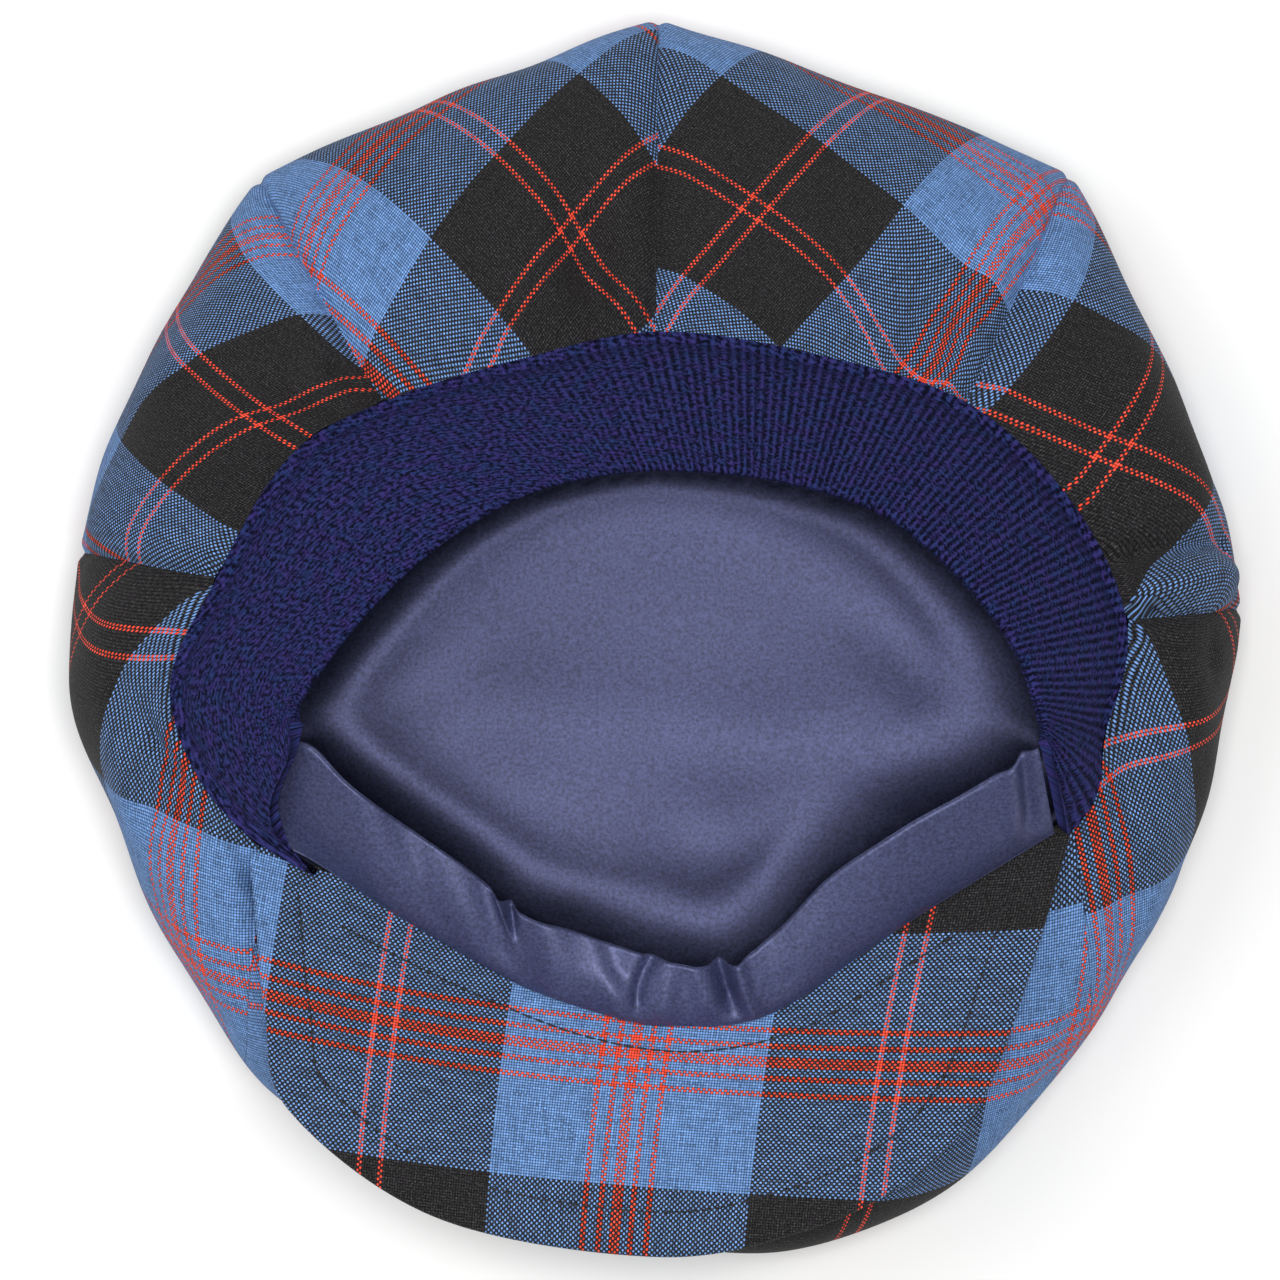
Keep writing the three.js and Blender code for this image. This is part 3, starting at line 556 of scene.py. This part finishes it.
# Where a gather draws the cloth: panel, ring place at the widest line and at the mouth, share where it starts,
# mm swallowed along the ring on its right, mm drawn towards the mouth, width of that
pulls = [("back_right", 2.50, 2.43, 0.45, 0, 11, 20), ("right_back", 0.26, 0.42, 0.15, 4.5, 0, 1)]
panelGrid = {
    "floorRows": 16, "turnRows": 26, "overRows": 84, "columns": 132,
    "crowding": 0.28,  # how much closer the columns stand at the seams
    "seamInset": 0.03,  # how far each panel stops short of its seam
}


def cutPlace(cut, w, s):
    # warp and weft place in threads, by the sum above
    over = np.maximum(s, 0)
    return np.stack([c[0] + c[1] * w + c[2] * s + (c[3] * w * w + c[4] * w * over + c[5] * over ** 2) / 50
                     for c in cut], -1) / tartan["thread"]


def fineRelief(t, station):
    # a Gaussian round each crease's segment, and sums of sines for the slight unevenness
    share = np.maximum(station - 2, 0)
    perRow = halfPanel(share)
    perPlace, perShare = crown["creaseScale"]
    relief = crown["rumple"] * (np.sin(5.1 * t + 9 * share) * np.sin(3.3 * t - 7 * station + 1)
                                + np.sin(8.7 * t + 2) * np.sin(11 * station + t))
    relief = relief * smoothstep(1.2, 1.8, station)
    fromSeam = np.abs(np.mod(t + 1, 2) - 1) * perRow
    depth, width = crown["seamValley"]
    valley = depth * np.exp(-(fromSeam / width) ** 2) * smoothstep(0.05, 0.3, share)
    relief = relief - valley * smoothstep(0.2, 0.9, fromFlatSeam(t))
    for t0, share0, t1, share1, height, width in crown["creases"]:
        dt, ds = (t1 - t0) * perPlace, (share1 - share0) * perShare
        away = (t - t0 + 8) % 16 - 8
        f = np.clip((away * perPlace * dt + (share - share0) * perShare * ds) / (dt * dt + ds * ds), 0, 1)
        distance = np.hypot((away - f * (t1 - t0)) * perRow,
                            (share - share0 - f * (share1 - share0)) * perShare)
        relief = relief + height * np.exp(-(distance / width) ** 2) * smoothstep(0.02, 0.15, share)
    return relief * (1 - 0.55 * smoothstep(0.86, 1, share))


def panelPiece(name, k):
    # the crown's surface over one panel, thickened inwards. Columns crowd towards the seams by
    # (1 - c) e + c (1 - (1 - e)³), e even from the middle to the seam, c the crowding.
    g = panelGrid
    station = np.concatenate([np.linspace(0, 1, g["floorRows"])[:-1], np.linspace(1, 2, g["turnRows"])[:-1],
                              np.linspace(2, 3, g["overRows"])])
    even = np.linspace(-1, 1, g["columns"])
    u = (1 - g["crowding"]) * even + g["crowding"] * np.sign(even) * (1 - (1 - np.abs(even)) ** 3)
    u = np.sign(u) * np.minimum(np.abs(u), 1)
    rowAt, columnAt = np.meshgrid(station, u, indexing="ij")
    middleAt = 2 * k + 1  # the ring place of the panel's middle
    ringAt = middleAt + columnAt
    base = crownPoint(middleAt + columnAt * 0.998, rowAt)
    steps = np.linalg.norm(np.diff(base, axis=1), axis=-1)
    w = np.concatenate([np.zeros((len(station), 1)), np.cumsum(steps, 1)], 1)
    middle = (w[:, g["columns"] // 2 - 1] + w[:, g["columns"] // 2]) / 2
    perRow = w[:, -1:] / 2
    w = w - middle[:, None]
    rise = np.linalg.norm(np.diff(base, axis=0), axis=-1)
    s = np.concatenate([np.zeros((1, len(u))), np.cumsum(rise, 0)])
    s = s - s[g["floorRows"] + g["turnRows"] - 2]
    depth, width = crown["seamGroove"]
    groove = -depth * np.exp(-((1 - np.abs(columnAt)) * perRow / width) ** 2) * smoothstep(0.3, 0.6, rowAt)
    groove = groove * smoothstep(0.2, 0.5, fromFlatSeam(ringAt))
    # just short of the seam, so that neighbours stay apart
    shy = columnAt * (1 - g["seamInset"] / np.maximum(perRow, 4))
    outer = crownPoint(middleAt + shy, rowAt, groove + fineRelief(ringAt, rowAt))
    over = smoothstep(2.92, 3, rowAt) * (1 - smoothstep(*crown["underPeak"], -outer[..., 1]))
    size = np.hypot(outer[..., 0], outer[..., 1])
    outer[..., :2] *= (1 - crown["curl"] * over / np.maximum(size, 1))[..., None]
    outer[..., 2] -= 0.4 * over
    inner = outer + inward(crownPoint, middleAt + columnAt * 0.999, rowAt) * crown["wall"]
    share = np.maximum(rowAt - 2, 0)
    for panel, widestAt, mouthAt, start, swallowed, drawn, width in pulls:
        if panel == name:
            away = (ringAt - (widestAt + (mouthAt - widestAt) * share)) * perRow
            w = w - swallowed * (1 - smoothstep(-2, 2, away)) * smoothstep(start, start + 0.3, share)
            s = s - drawn * np.exp(-(away / width) ** 2) * smoothstep(start, 1, share)
    piece, area = wallPiece("cloth_panel_" + name, outer, inner, cutPlace(panelCut[name], w, s),
                            tartanMaterial, ["crown_panel_" + name])


for k, name in enumerate(panelCut):
    panelPiece(name, k)
print("crown panels made")

# The covered button: flat is the radius of its flat face
button = {"radius": 11.0, "height": 4.6, "flat": 7.0, "rings": 38, "sides": 96}


def buttonPiece():
    # a profile turned round z: radius r sin(a)^0.55 and height h (1 - cos a) / 2, a from 0 to pi,
    # with the flat face at 0 and the back at h
    rings, sides = button["rings"], button["sides"]
    angle = np.linspace(0, np.pi, rings + 2)
    radius = button["radius"] * np.sin(angle) ** 0.55
    z = button["height"] * (1 - np.cos(angle)) / 2
    z = np.where(radius < button["flat"], np.where(angle < np.pi / 2, 0, z), z)
    turn = np.linspace(0, 2 * np.pi, sides + 1)[:-1]
    ring = np.stack([radius[1:-1, None] * np.cos(turn), radius[1:-1, None] * np.sin(turn),
                     np.broadcast_to(z[1:-1, None], (rings, sides))], -1)
    verts = np.concatenate([ring.reshape(-1, 3), [[0, 0, 0], [0, 0, button["height"]]]])
    fans = twoFans(rings * sides, np.arange(sides), (rings - 1) * sides + np.arange(sides))
    uv = verts[:, :2] / tartan["thread"] + 61
    makePiece("covered_button", verts, [gridFaces((rings, sides), 0, True), fans], uv, tartanMaterial,
              ["crown_button"])


buttonPiece()

# The peak's tartan, read in plan: powers of a = x / 100 and b = (y + 110) / 100
peakCut = {
    "powers": [(0, 0), (1, 0), (0, 1), (2, 0), (1, 1), (0, 2), (3, 0), (2, 1)],
    "warp": [6.94, 102.35, -12.37, -1.85, -5.31, -7.96, 0, 0],
    "weft": [-16.39, 8.00, 103.48, -6.63, 1.20, 3.00, 1.07, -8.82],
}
peakDetail = {
    "sections": 260, "stations": 72,
    "edgeStitch": 10.0, "rootStitch": 9.6,  # how far the rows of sewing lie from the edge and from the root
    "edgeFrom": 14, "rootFrom": 26,  # how deep the peak is where each row starts
    "groove": (0.35, 1.2),  # how the thread draws the cloth in: depth, width
    "stitch": 3.0, "stitchHalf": 0.47,  # the stitch's pitch, and the share of it that is thread, each side
    "thread": 0.24, "bow": 0.24, "sunk": 0.08,
}


def peakPlan(t, w):
    # x, y at section t, w the share of the way from the root to the edge
    row = throughRows(peakShape["rows"], t)
    return row[..., :2] + (row[..., 2:] - row[..., :2]) * w[..., None]


def stitchLines():
    # the outer edge moved in along its normal, and the root moved out along its own
    t = np.linspace(0.12, 9.88, 900)
    edge, root = peakPlan(t, np.ones_like(t)), peakPlan(t, np.zeros_like(t))
    deep = np.linalg.norm(root - edge, axis=-1)
    rows = []
    for line, other, kind in ((edge, root, "edge"), (root, edge, "root")):
        tangent = unit(np.gradient(line, axis=0))
        normal = np.stack([-tangent[:, 1], tangent[:, 0]], -1)
        normal *= np.sign((normal * (other - line)).sum(-1, keepdims=True))
        rows.append((line + normal * peakDetail[kind + "Stitch"])[deep > peakDetail[kind + "From"]])
    return rows


def peakPiece():
    # upper and lower face over one plan grid; the rim is rounded as a circle's quarter, r (1 - sqrt(1 - q²))
    across = towardsFold(0.93, peakDetail["stations"] - 14, 15)
    section, share = np.meshgrid(np.linspace(0, 10, peakDetail["sections"]), across, indexing="ij")
    plan = peakPlan(section, share)
    half = peakShape["thickness"] / 2
    q = np.clip(1 - (1 - share) * straightAcross(peakPlan, section) / half, 0, 1)
    drop = half * (1 - np.sqrt(np.maximum(1 - q * q, 0.0)))
    z = peakHeight(plan[..., 0], plan[..., 1])
    depth, width = peakDetail["groove"]
    groove = 0
    for line in stitchLines():
        nearest = np.sqrt(((plan[:, :, None] - line[None, None, ::6]) ** 2).sum(-1)).min(-1)
        groove = groove + depth * np.exp(-(nearest / width) ** 2)
    up = withZ(plan, z - drop - groove)
    down = withZ(up, z - peakShape["thickness"] + drop + groove)
    a, b = plan[..., 0] / 100, (plan[..., 1] + 110) / 100
    uv = np.stack([sum(c * a ** m * b ** n for c, (m, n) in zip(peakCut[way], peakCut["powers"]))
                   for way in ("warp", "weft")], -1) / tartan["thread"]
    wallPiece("peak_cloth", up, down, uv, tartanMaterial, ["peak"])


def stitchPieces():
    # each stitch is a short thread of six rings, bowed along the row by bow (1 - q²) and thinned
    # at its ends by sqrt(1 - 0.9 q⁴), q from -1 to 1
    for name, line in zip(("peak_edge_stitching", "peak_root_stitching"), stitchLines()):
        run = np.concatenate([[0], np.cumsum(np.linalg.norm(np.diff(line, axis=0), axis=-1))])
        count = int(run[-1] / peakDetail["stitch"])
        at = (np.arange(count) + 0.5) * peakDetail["stitch"]
        q = np.array([-1, -0.8, -0.3, 0.3, 0.8, 1])
        place = at[:, None] + q * peakDetail["stitch"] * peakDetail["stitchHalf"]
        x, y = np.interp(place, run, line[:, 0]), np.interp(place, run, line[:, 1])
        step = np.stack([np.gradient(x, axis=1), np.gradient(y, axis=1)], -1)
        side = unit(step)[..., ::-1] * np.array([-1, 1])
        angle = np.linspace(0, 2 * np.pi, 7)[:-1]
        radius = peakDetail["thread"] * np.sqrt(1 - 0.9 * q ** 4)
        z = peakHeight(x, y) - peakDetail["groove"][0] + peakDetail["bow"] * (1 - q ** 2) - peakDetail["sunk"]
        ring = np.stack([x[..., None] + side[..., :1] * radius[:, None] * np.cos(angle),
                         y[..., None] + side[..., 1:] * radius[:, None] * np.cos(angle),
                         z[..., None] + radius[:, None] * np.sin(angle)], -1)
        tubes = gridFaces((6, 6), 0, True)
        caps = np.array([[0, 5, 4, 3], [0, 3, 2, 1], [30, 31, 32, 33], [30, 33, 34, 35]])
        offsets = np.arange(count)[:, None, None] * 36
        faces = np.concatenate([(tubes + offsets).reshape(-1, 4), (caps + offsets).reshape(-1, 4)])
        makePiece(name, ring.reshape(-1, 3), [faces], None, threadMaterial, ["peak"])


peakPiece()
stitchPieces()
print("peak made")

# The band's rows, from the right end to the left: ring place where it is sewn, how far in from the
# mouth's edge and above it, then x, y and z of the free edge
band = {
    "rows": np.array([
        (-2.1, 0.6, 8.5, 85.6, -22.9, 87), (-1.05, 2.0, 1.0, 84.4, -16.8, 89), (0, 1.8, -0.3, 78.9, -2.7, 90),
        (1, 1.8, -0.3, 67.5, 12.3, 88), (2, 1.8, -0.3, 50.4, 26.5, 86), (3, 1.8, -0.3, 29.7, 33.7, 86),
        (4, 1.8, -0.3, 7.6, 36.4, 86), (5, 1.8, -0.3, -11.1, 35.6, 83), (6, 1.8, -0.3, -29.6, 30.8, 80),
        (7, 1.8, -0.3, -47.8, 20.0, 80), (8, 1.8, -0.3, -63.6, 5.3, 81), (9, 1.4, 0.2, -77.0, -12.0, 84),
        (9.7, 1.0, 3.4, -79.2, -16.6, 86), (10.3, 3.2, 8.8, -79.4, -18.9, 87)]),
    "bulge": 2.5, "endHollow": 0.5, "thickness": 3.2, "ribHeight": 0.28, "perRib": 8,
    "tuck": (2.8, 3.4),  # how the sewn edge dips under the crown: depth, width
}


def bandSheet(t, w):
    # the knit's middle: straight from the sewn edge to the free one, w the share, raised by bulge sin(pi w)
    last = len(band["rows"]) - 1
    hollow = band["endHollow"] * smoothstep(last - 1, last, t) * np.sin(np.pi * np.maximum(w, 0) ** 0.7)
    row = throughRows(band["rows"], t - hollow)
    sewn, free = mouthPoint(row[..., 0]), row[..., 3:]
    share = row[..., 1] / np.linalg.norm(free[..., :2] - sewn[..., :2], axis=-1)
    plan = sewn[..., :2] + (free[..., :2] - sewn[..., :2]) * share[..., None]
    z = sewn[..., 2] + row[..., 2]
    start = withZ(plan, z)
    point = start + (free - start) * w[..., None]
    return withZ(point, point[..., 2] + band["bulge"] * np.sin(np.pi * w))


def sheetNormal(sheet, t, w, step=0.01):
    # cross product of the differences along and across the strip
    along = sheet(t + step, w) - sheet(t - step, w)
    across = sheet(t, np.minimum(w + step, 1)) - sheet(t, np.maximum(w - step, 0))
    return unit(np.cross(along, across))


def foldThickness(w, length, thickness):
    # constant, and a half circle over the last half thickness: sqrt(1 - q²)
    q = np.clip(1 - (1 - w) * length / (thickness / 2), 0, 1)
    return thickness * np.sqrt(np.maximum(1 - q * q, 0.0004))


def bandPiece():
    # ribs run across the strip: height cos(2 pi rib) on both faces of the doubled knit
    last = len(band["rows"]) - 1
    t = np.linspace(0, last, 1500)
    middle = bandSheet(t, np.full_like(t, 0.5))
    run = np.concatenate([[0], np.cumsum(np.linalg.norm(np.diff(middle, axis=0), axis=-1))])
    ribs = int(run[-1] / knit["ribPitch"])
    rib = np.arange(ribs * band["perRib"] + 1) / band["perRib"]
    sections = np.interp(rib * run[-1] / ribs, run, t)
    section, share = np.meshgrid(sections, towardsFold(0.94, 13, 7), indexing="ij")
    length = straightAcross(bandSheet, section)
    point, normal = bandSheet(section, share), sheetNormal(bandSheet, section, share)
    faded = 1 - 0.6 * smoothstep(*knit["fade"], rib)
    uneven = (1 + 0.35 * np.sin(rib * 0.9) * np.sin(rib * 0.23 + 1)) * faded
    ripple = (band["ribHeight"] * uneven * np.cos(2 * np.pi * rib))[:, None] * smoothstep(0, 0.12, share)
    depth, width = band["tuck"]
    ripple = ripple - depth * np.exp(-(share * length / width) ** 2) * smoothstep(0, 12, rib)[:, None]
    half = foldThickness(share, length, band["thickness"]) / 2
    up = point + normal * (half + ripple)[..., None]
    down = point - normal * (half + ripple * (half / half.max()))[..., None]
    uv = np.stack([np.broadcast_to(rib[:, None], share.shape), share * length / knit["rowPitch"]], -1)
    piece, area = wallPiece("rib_knit_band", up, down, uv, knitMaterial, ["knit_band"])


bandPiece()
print("knit band made")

# The facing's rows, from the left end to the right: x and y where it is sewn, x, y and z of its fold, bulge
facing = {
    "rows": np.array([
        (-83.4, -47.2, -86.6, -24.2, 71, -0.5), (-77.0, -49.4, -77.4, -23.8, 80, 1.0),
        (-61.7, -59.4, -68.9, -31.5, 79, 2.5), (-48.3, -67.6, -56.8, -41.4, 75, 3.5),
        (-34.4, -75.4, -42.5, -51.4, 72, 3.5), (-24.4, -80.0, -32.0, -60.8, 70, 1.5),
        (-5.7, -85.7, -18.3, -65.8, 69, 3.5), (5.8, -86.8, -1.4, -71.4, 68, 2.5),
        (19.1, -86.2, 15.0, -73.6, 68, 1.0), (30.8, -81.5, 26.1, -67.0, 69, 2.5),
        (43.6, -72.6, 39.4, -53.0, 72, 3.0), (57.2, -63.2, 54.0, -43.0, 76, 2.5),
        (71.7, -54.2, 69.0, -34.6, 79, 2.0), (89.2, -43.4, 84.6, -24.8, 84, 1.5)]),
    "thickness": 2.0, "bulgeGain": 1.2, "bulgePower": 0.7, "pleatGain": 1.5,
    # each pleat: place at the sewn edge and at the fold, height, width in rows, share across where it starts
    "pleats": [
        (4.5, 4.95, -2.4, 0.11, 0.55), (4.6, 4.72, 1.5, 0.12, 0.5), (4.1, 4.4, -1.3, 0.40, 0.05),
        (5.2, 5.6, 1.5, 0.32, -0.1), (6.1, 6.4, -1.4, 0.28, 0.4), (6.0, 6.3, 0.9, 0.20, -0.1),
        (6.1, 7.05, -1.7, 0.10, 0.1), (6.7, 7.3, 1.0, 0.18, 0.0), (7.95, 7.95, -3.2, 0.13, 0.05),
        (7.55, 7.6, 0.9, 0.16, 0.1), (8.3, 8.25, 1.7, 0.15, -0.1), (8.9, 9.0, -0.6, 0.35, 0.1),
        (2.2, 2.4, 1.0, 0.5, -0.1), (3.2, 3.1, -0.8, 0.4, 0.0), (10.6, 10.4, 0.8, 0.6, -0.1),
        (12.75, 12.8, -1.2, 0.09, 0.1), (12.5, 12.6, 0.8, 0.12, 0.1)],
}


def facingSheet(t, w):
    # straight from the sewn edge to the fold, w the share, and out by gain bulge sin(pi w^power)
    row = throughRows(facing["rows"], t)
    sewn = withZ(row[..., :3], peakHeight(row[..., 0], row[..., 1]) + facing["thickness"] / 2 + 0.1)
    fold = row[..., 2:5]
    out = facing["bulgeGain"] * row[..., 5] * np.sin(np.pi * np.maximum(w, 0) ** facing["bulgePower"])
    return sewn + (fold - sewn) * w[..., None] + out[..., None] * np.array([0, -0.4, 0.8])


def facingPiece():
    # the strip plus a Gaussian ridge or valley for each pleat
    section, share = np.meshgrid(np.linspace(0, 13, 520), towardsFold(0.93, 34, 9), indexing="ij")
    point, normal = facingSheet(section, share), sheetNormal(facingSheet, section, share)
    relief = 0
    for sewnAt, foldAt, height, width, start in facing["pleats"]:
        away = section - (sewnAt + (foldAt - sewnAt) * share)
        ease = smoothstep(start, start + 0.35, share) * smoothstep(0, 0.12, share)
        relief = relief + facing["pleatGain"] * height * np.exp(-(away / width) ** 2) * ease
    length = straightAcross(facingSheet, section)
    half = foldThickness(share, length, facing["thickness"]) / 2
    upward = np.sign(normal[..., 2:].mean())
    up = point + normal * upward * (half + relief)[..., None]
    down = point - normal * upward * (half - relief)[..., None]
    uv = np.stack([section * 15, share * length], -1)
    piece, area = wallPiece("satin_facing_cloth", up, down, uv, acrossMaterial, ["satin_facing"])


facingPiece()
print("facing made")

# The lining: a smaller, smoother bowl than the crown's
lining = {
    "side": 6.0, "floor": 4.4, "rim": 8.0, "inset": 5.0, "wall": 1.0,
    "tent": (3.2, 15, 95),  # how it spans the panels' tips: height, inner and outer radius
    "seenOut": 1.057,  # how much wider the opening's rim looks from above when it is laid on the lining
    "middle": (0, -10),  # the opening's middle
    # how it turns up below the opening's rim: direction in degrees, height, width; the most of (1 - d / width)
    "rimRise": [(10, 5, 13), (40, 3.2, 8), (90, 2.0, 5), (140, 3.4, 7), (185, 5.5, 11), (215, 6, 13),
                (250, 6, 15), (270, 6, 18), (300, 6, 15), (330, 7.5, 20), (350, 7.5, 21)],
    "riseLimit": 1.15,
    "blank": (0.34, 0.36),  # the size it was cut from, in metres
    # each soft fold: x, y of its middle, height, reach along and across, turn in degrees
    "folds": [
        (48, 12, 1.6, 44, 18, -25), (-32, 18, 1.1, 46, 18, 20), (8, -22, -1.1, 64, 14, -8),
        (10, -50, 2.0, 18, 16, 0), (-62, -14, 1.8, 22, 12, 25), (66, -8, 1.8, 24, 12, -50),
        (-8, 38, 1.0, 52, 15, 0), (-84, 18, 1.6, 16, 17, 60), (40, -38, 1.2, 28, 12, 35),
        (-36, -38, 1.3, 28, 12, -35)],
}


def liningPoint(t, station, depth):
    # the crown's meridian between a widest line and a mouth that are moved in, depth behind its face
    widest = throughRows(crown["widest"], 2 * t, True)
    reach = np.linalg.norm(widest, axis=-1, keepdims=True)
    widest = withZ(widest * (1 - (lining["side"] + depth) / reach), crown["widestHeight"])
    mouth = mouthPoint(t)
    size = np.linalg.norm(mouth, axis=-1, keepdims=True)
    mouth = withZ(mouth * (size - lining["inset"]) / size, mouth[..., 2] - lining["rim"] - depth)
    return meridian(widest, mouth, lining["floor"] + depth, -6.0, station, lining["tent"])


def rimRise(x, y):
    # height (1 - d / width)², d the soft distance in from the opening's rim as the eye above sees it on the
    # lining: (pi / 2 / sum of length / distance⁴) to the power 1/3, which is exact beside a straight rim
    strips = (bandSheet, band), (facingSheet, facing)
    rim = lining["seenOut"] * np.concatenate([
        sheet(np.linspace(0, len(table["rows"]) - 1, 220), np.ones(220))[..., :2] for sheet, table in strips])
    middleX, middleY = lining["middle"]
    angle = np.arctan2(rim[:, 1] - middleY, rim[:, 0] - middleX)
    reach = np.hypot(rim[:, 0] - middleX, rim[:, 1] - middleY)
    order = np.argsort(angle)
    around = np.arctan2(y - middleY, x - middleX)
    rimReach = np.interp(around, angle[order], reach[order], period=2 * np.pi)
    inside = np.hypot(x - middleX, y - middleY) < rimReach
    length = np.linalg.norm(np.roll(rim, -1, 0) - rim, axis=1)
    square = ((np.stack([x, y], -1)[..., None, :] - rim) ** 2).sum(-1) + 0.5
    away = (np.pi / 2 / (length / square ** 2).sum(-1)) ** (1 / 3)
    table = np.array(lining["rimRise"])
    height, width = (np.interp(around, np.radians(table[:, 0]), table[:, k], period=2 * np.pi) for k in (1, 2))
    return height * np.clip(1 - np.where(inside, away, -away) / width, 0, lining["riseLimit"]) ** 2


def liningPiece():
    # two closed bowls, face and back, lifted by a turned Gaussian for each fold and by the rise at the rim
    station = np.concatenate([np.linspace(0.02, 1, 60)[:-1], np.linspace(1, 2, 24)[:-1],
                              np.linspace(2, 3, 26)])
    rowAt, ringAt = np.meshgrid(station, np.linspace(0, 16, 241)[:-1], indexing="ij")
    face, back = liningPoint(ringAt, rowAt, 0.0), liningPoint(ringAt, rowAt, lining["wall"])
    lift = 0
    for x, y, height, along, across, turn in lining["folds"]:
        a = np.radians(turn)
        dx, dy = back[..., 0] - x, back[..., 1] - y
        lift = lift + height * np.exp(-((dx * np.cos(a) + dy * np.sin(a)) / along) ** 2
                                      - ((dy * np.cos(a) - dx * np.sin(a)) / across) ** 2)
    lift = (lift + rimRise(back[..., 0], back[..., 1])) * (1 - smoothstep(1.0, 1.6, rowAt))
    face, back = withZ(face, face[..., 2] + lift), withZ(back, back[..., 2] + lift)
    centre = face[0, :, 2].mean()
    poles = [[0, 0, centre], [0, 0, centre + lining["wall"]]]
    verts = np.concatenate([face.reshape(-1, 3), back.reshape(-1, 3), poles])
    rows, columns = rowAt.shape
    count = rows * columns
    sides = [gridFaces(rowAt.shape, 0, True), gridFaces(rowAt.shape, count, True)[:, ::-1]]
    first, last = np.arange(columns), (rows - 1) * columns + np.arange(columns)
    sides.append(np.stack([last, np.roll(last, -1), np.roll(last, -1) + count, last + count], -1))
    faces = [np.concatenate(sides), twoFans(2 * count, first, first + count)]
    piece = makePiece("satin_lining_cloth", verts, faces, verts[:, :2], satinMaterial,
                      ["satin_lining"])


liningPiece()
print("lining made")

# Plain pale floor and soft studio light
floorSize = 3.0
corners = np.array([(-1, -1), (1, -1), (1, 1), (-1, 1)]) * floorSize / 2
floorMesh = bpy.data.meshes.new("floor")
floorMesh.from_pydata([(x, y, 0) for x, y in corners], [], [(0, 1, 2, 3)])
floor = bpy.data.objects.new("floor", floorMesh)
bpy.context.scene.collection.objects.link(floor)
floorMaterial, tree = newMaterial("pale studio paper")
addNode(tree, "OutputMaterial", addNode(tree, "BsdfPrincipled", named={
    "Base Color": srgb("#F4F4F3"), "Roughness": 0.9, "Specular IOR Level": 0.2}))
floorMesh.materials.append(floorMaterial)

world = bpy.data.worlds.new("studio")
bpy.context.scene.world = world
world.use_nodes = True
background = world.node_tree.nodes["Background"].inputs
background["Color"].default_value = (1.0, 1.0, 1.0, 1.0)
background["Strength"].default_value = 0.36

lights = [  # name, place, size, power in watts
    ("overhead soft box", (0.05, 0.0, 1.7), 0.5, 21),
    ("key from the left", (-0.75, 0.3, 1.5), 0.8, 6),
]
for name, place, size, power in lights:
    light = bpy.data.lights.new(name, "AREA")
    light.size, light.energy = size, power
    lamp = bpy.data.objects.new(name, light)
    lamp.location = place
    lamp.rotation_euler = Vector(place).to_track_quat("Z", "Y").to_euler()  # faces the cap
    bpy.context.scene.collection.objects.link(lamp)

bpy.context.scene.view_settings.view_transform = "Standard"
print("scene ready")
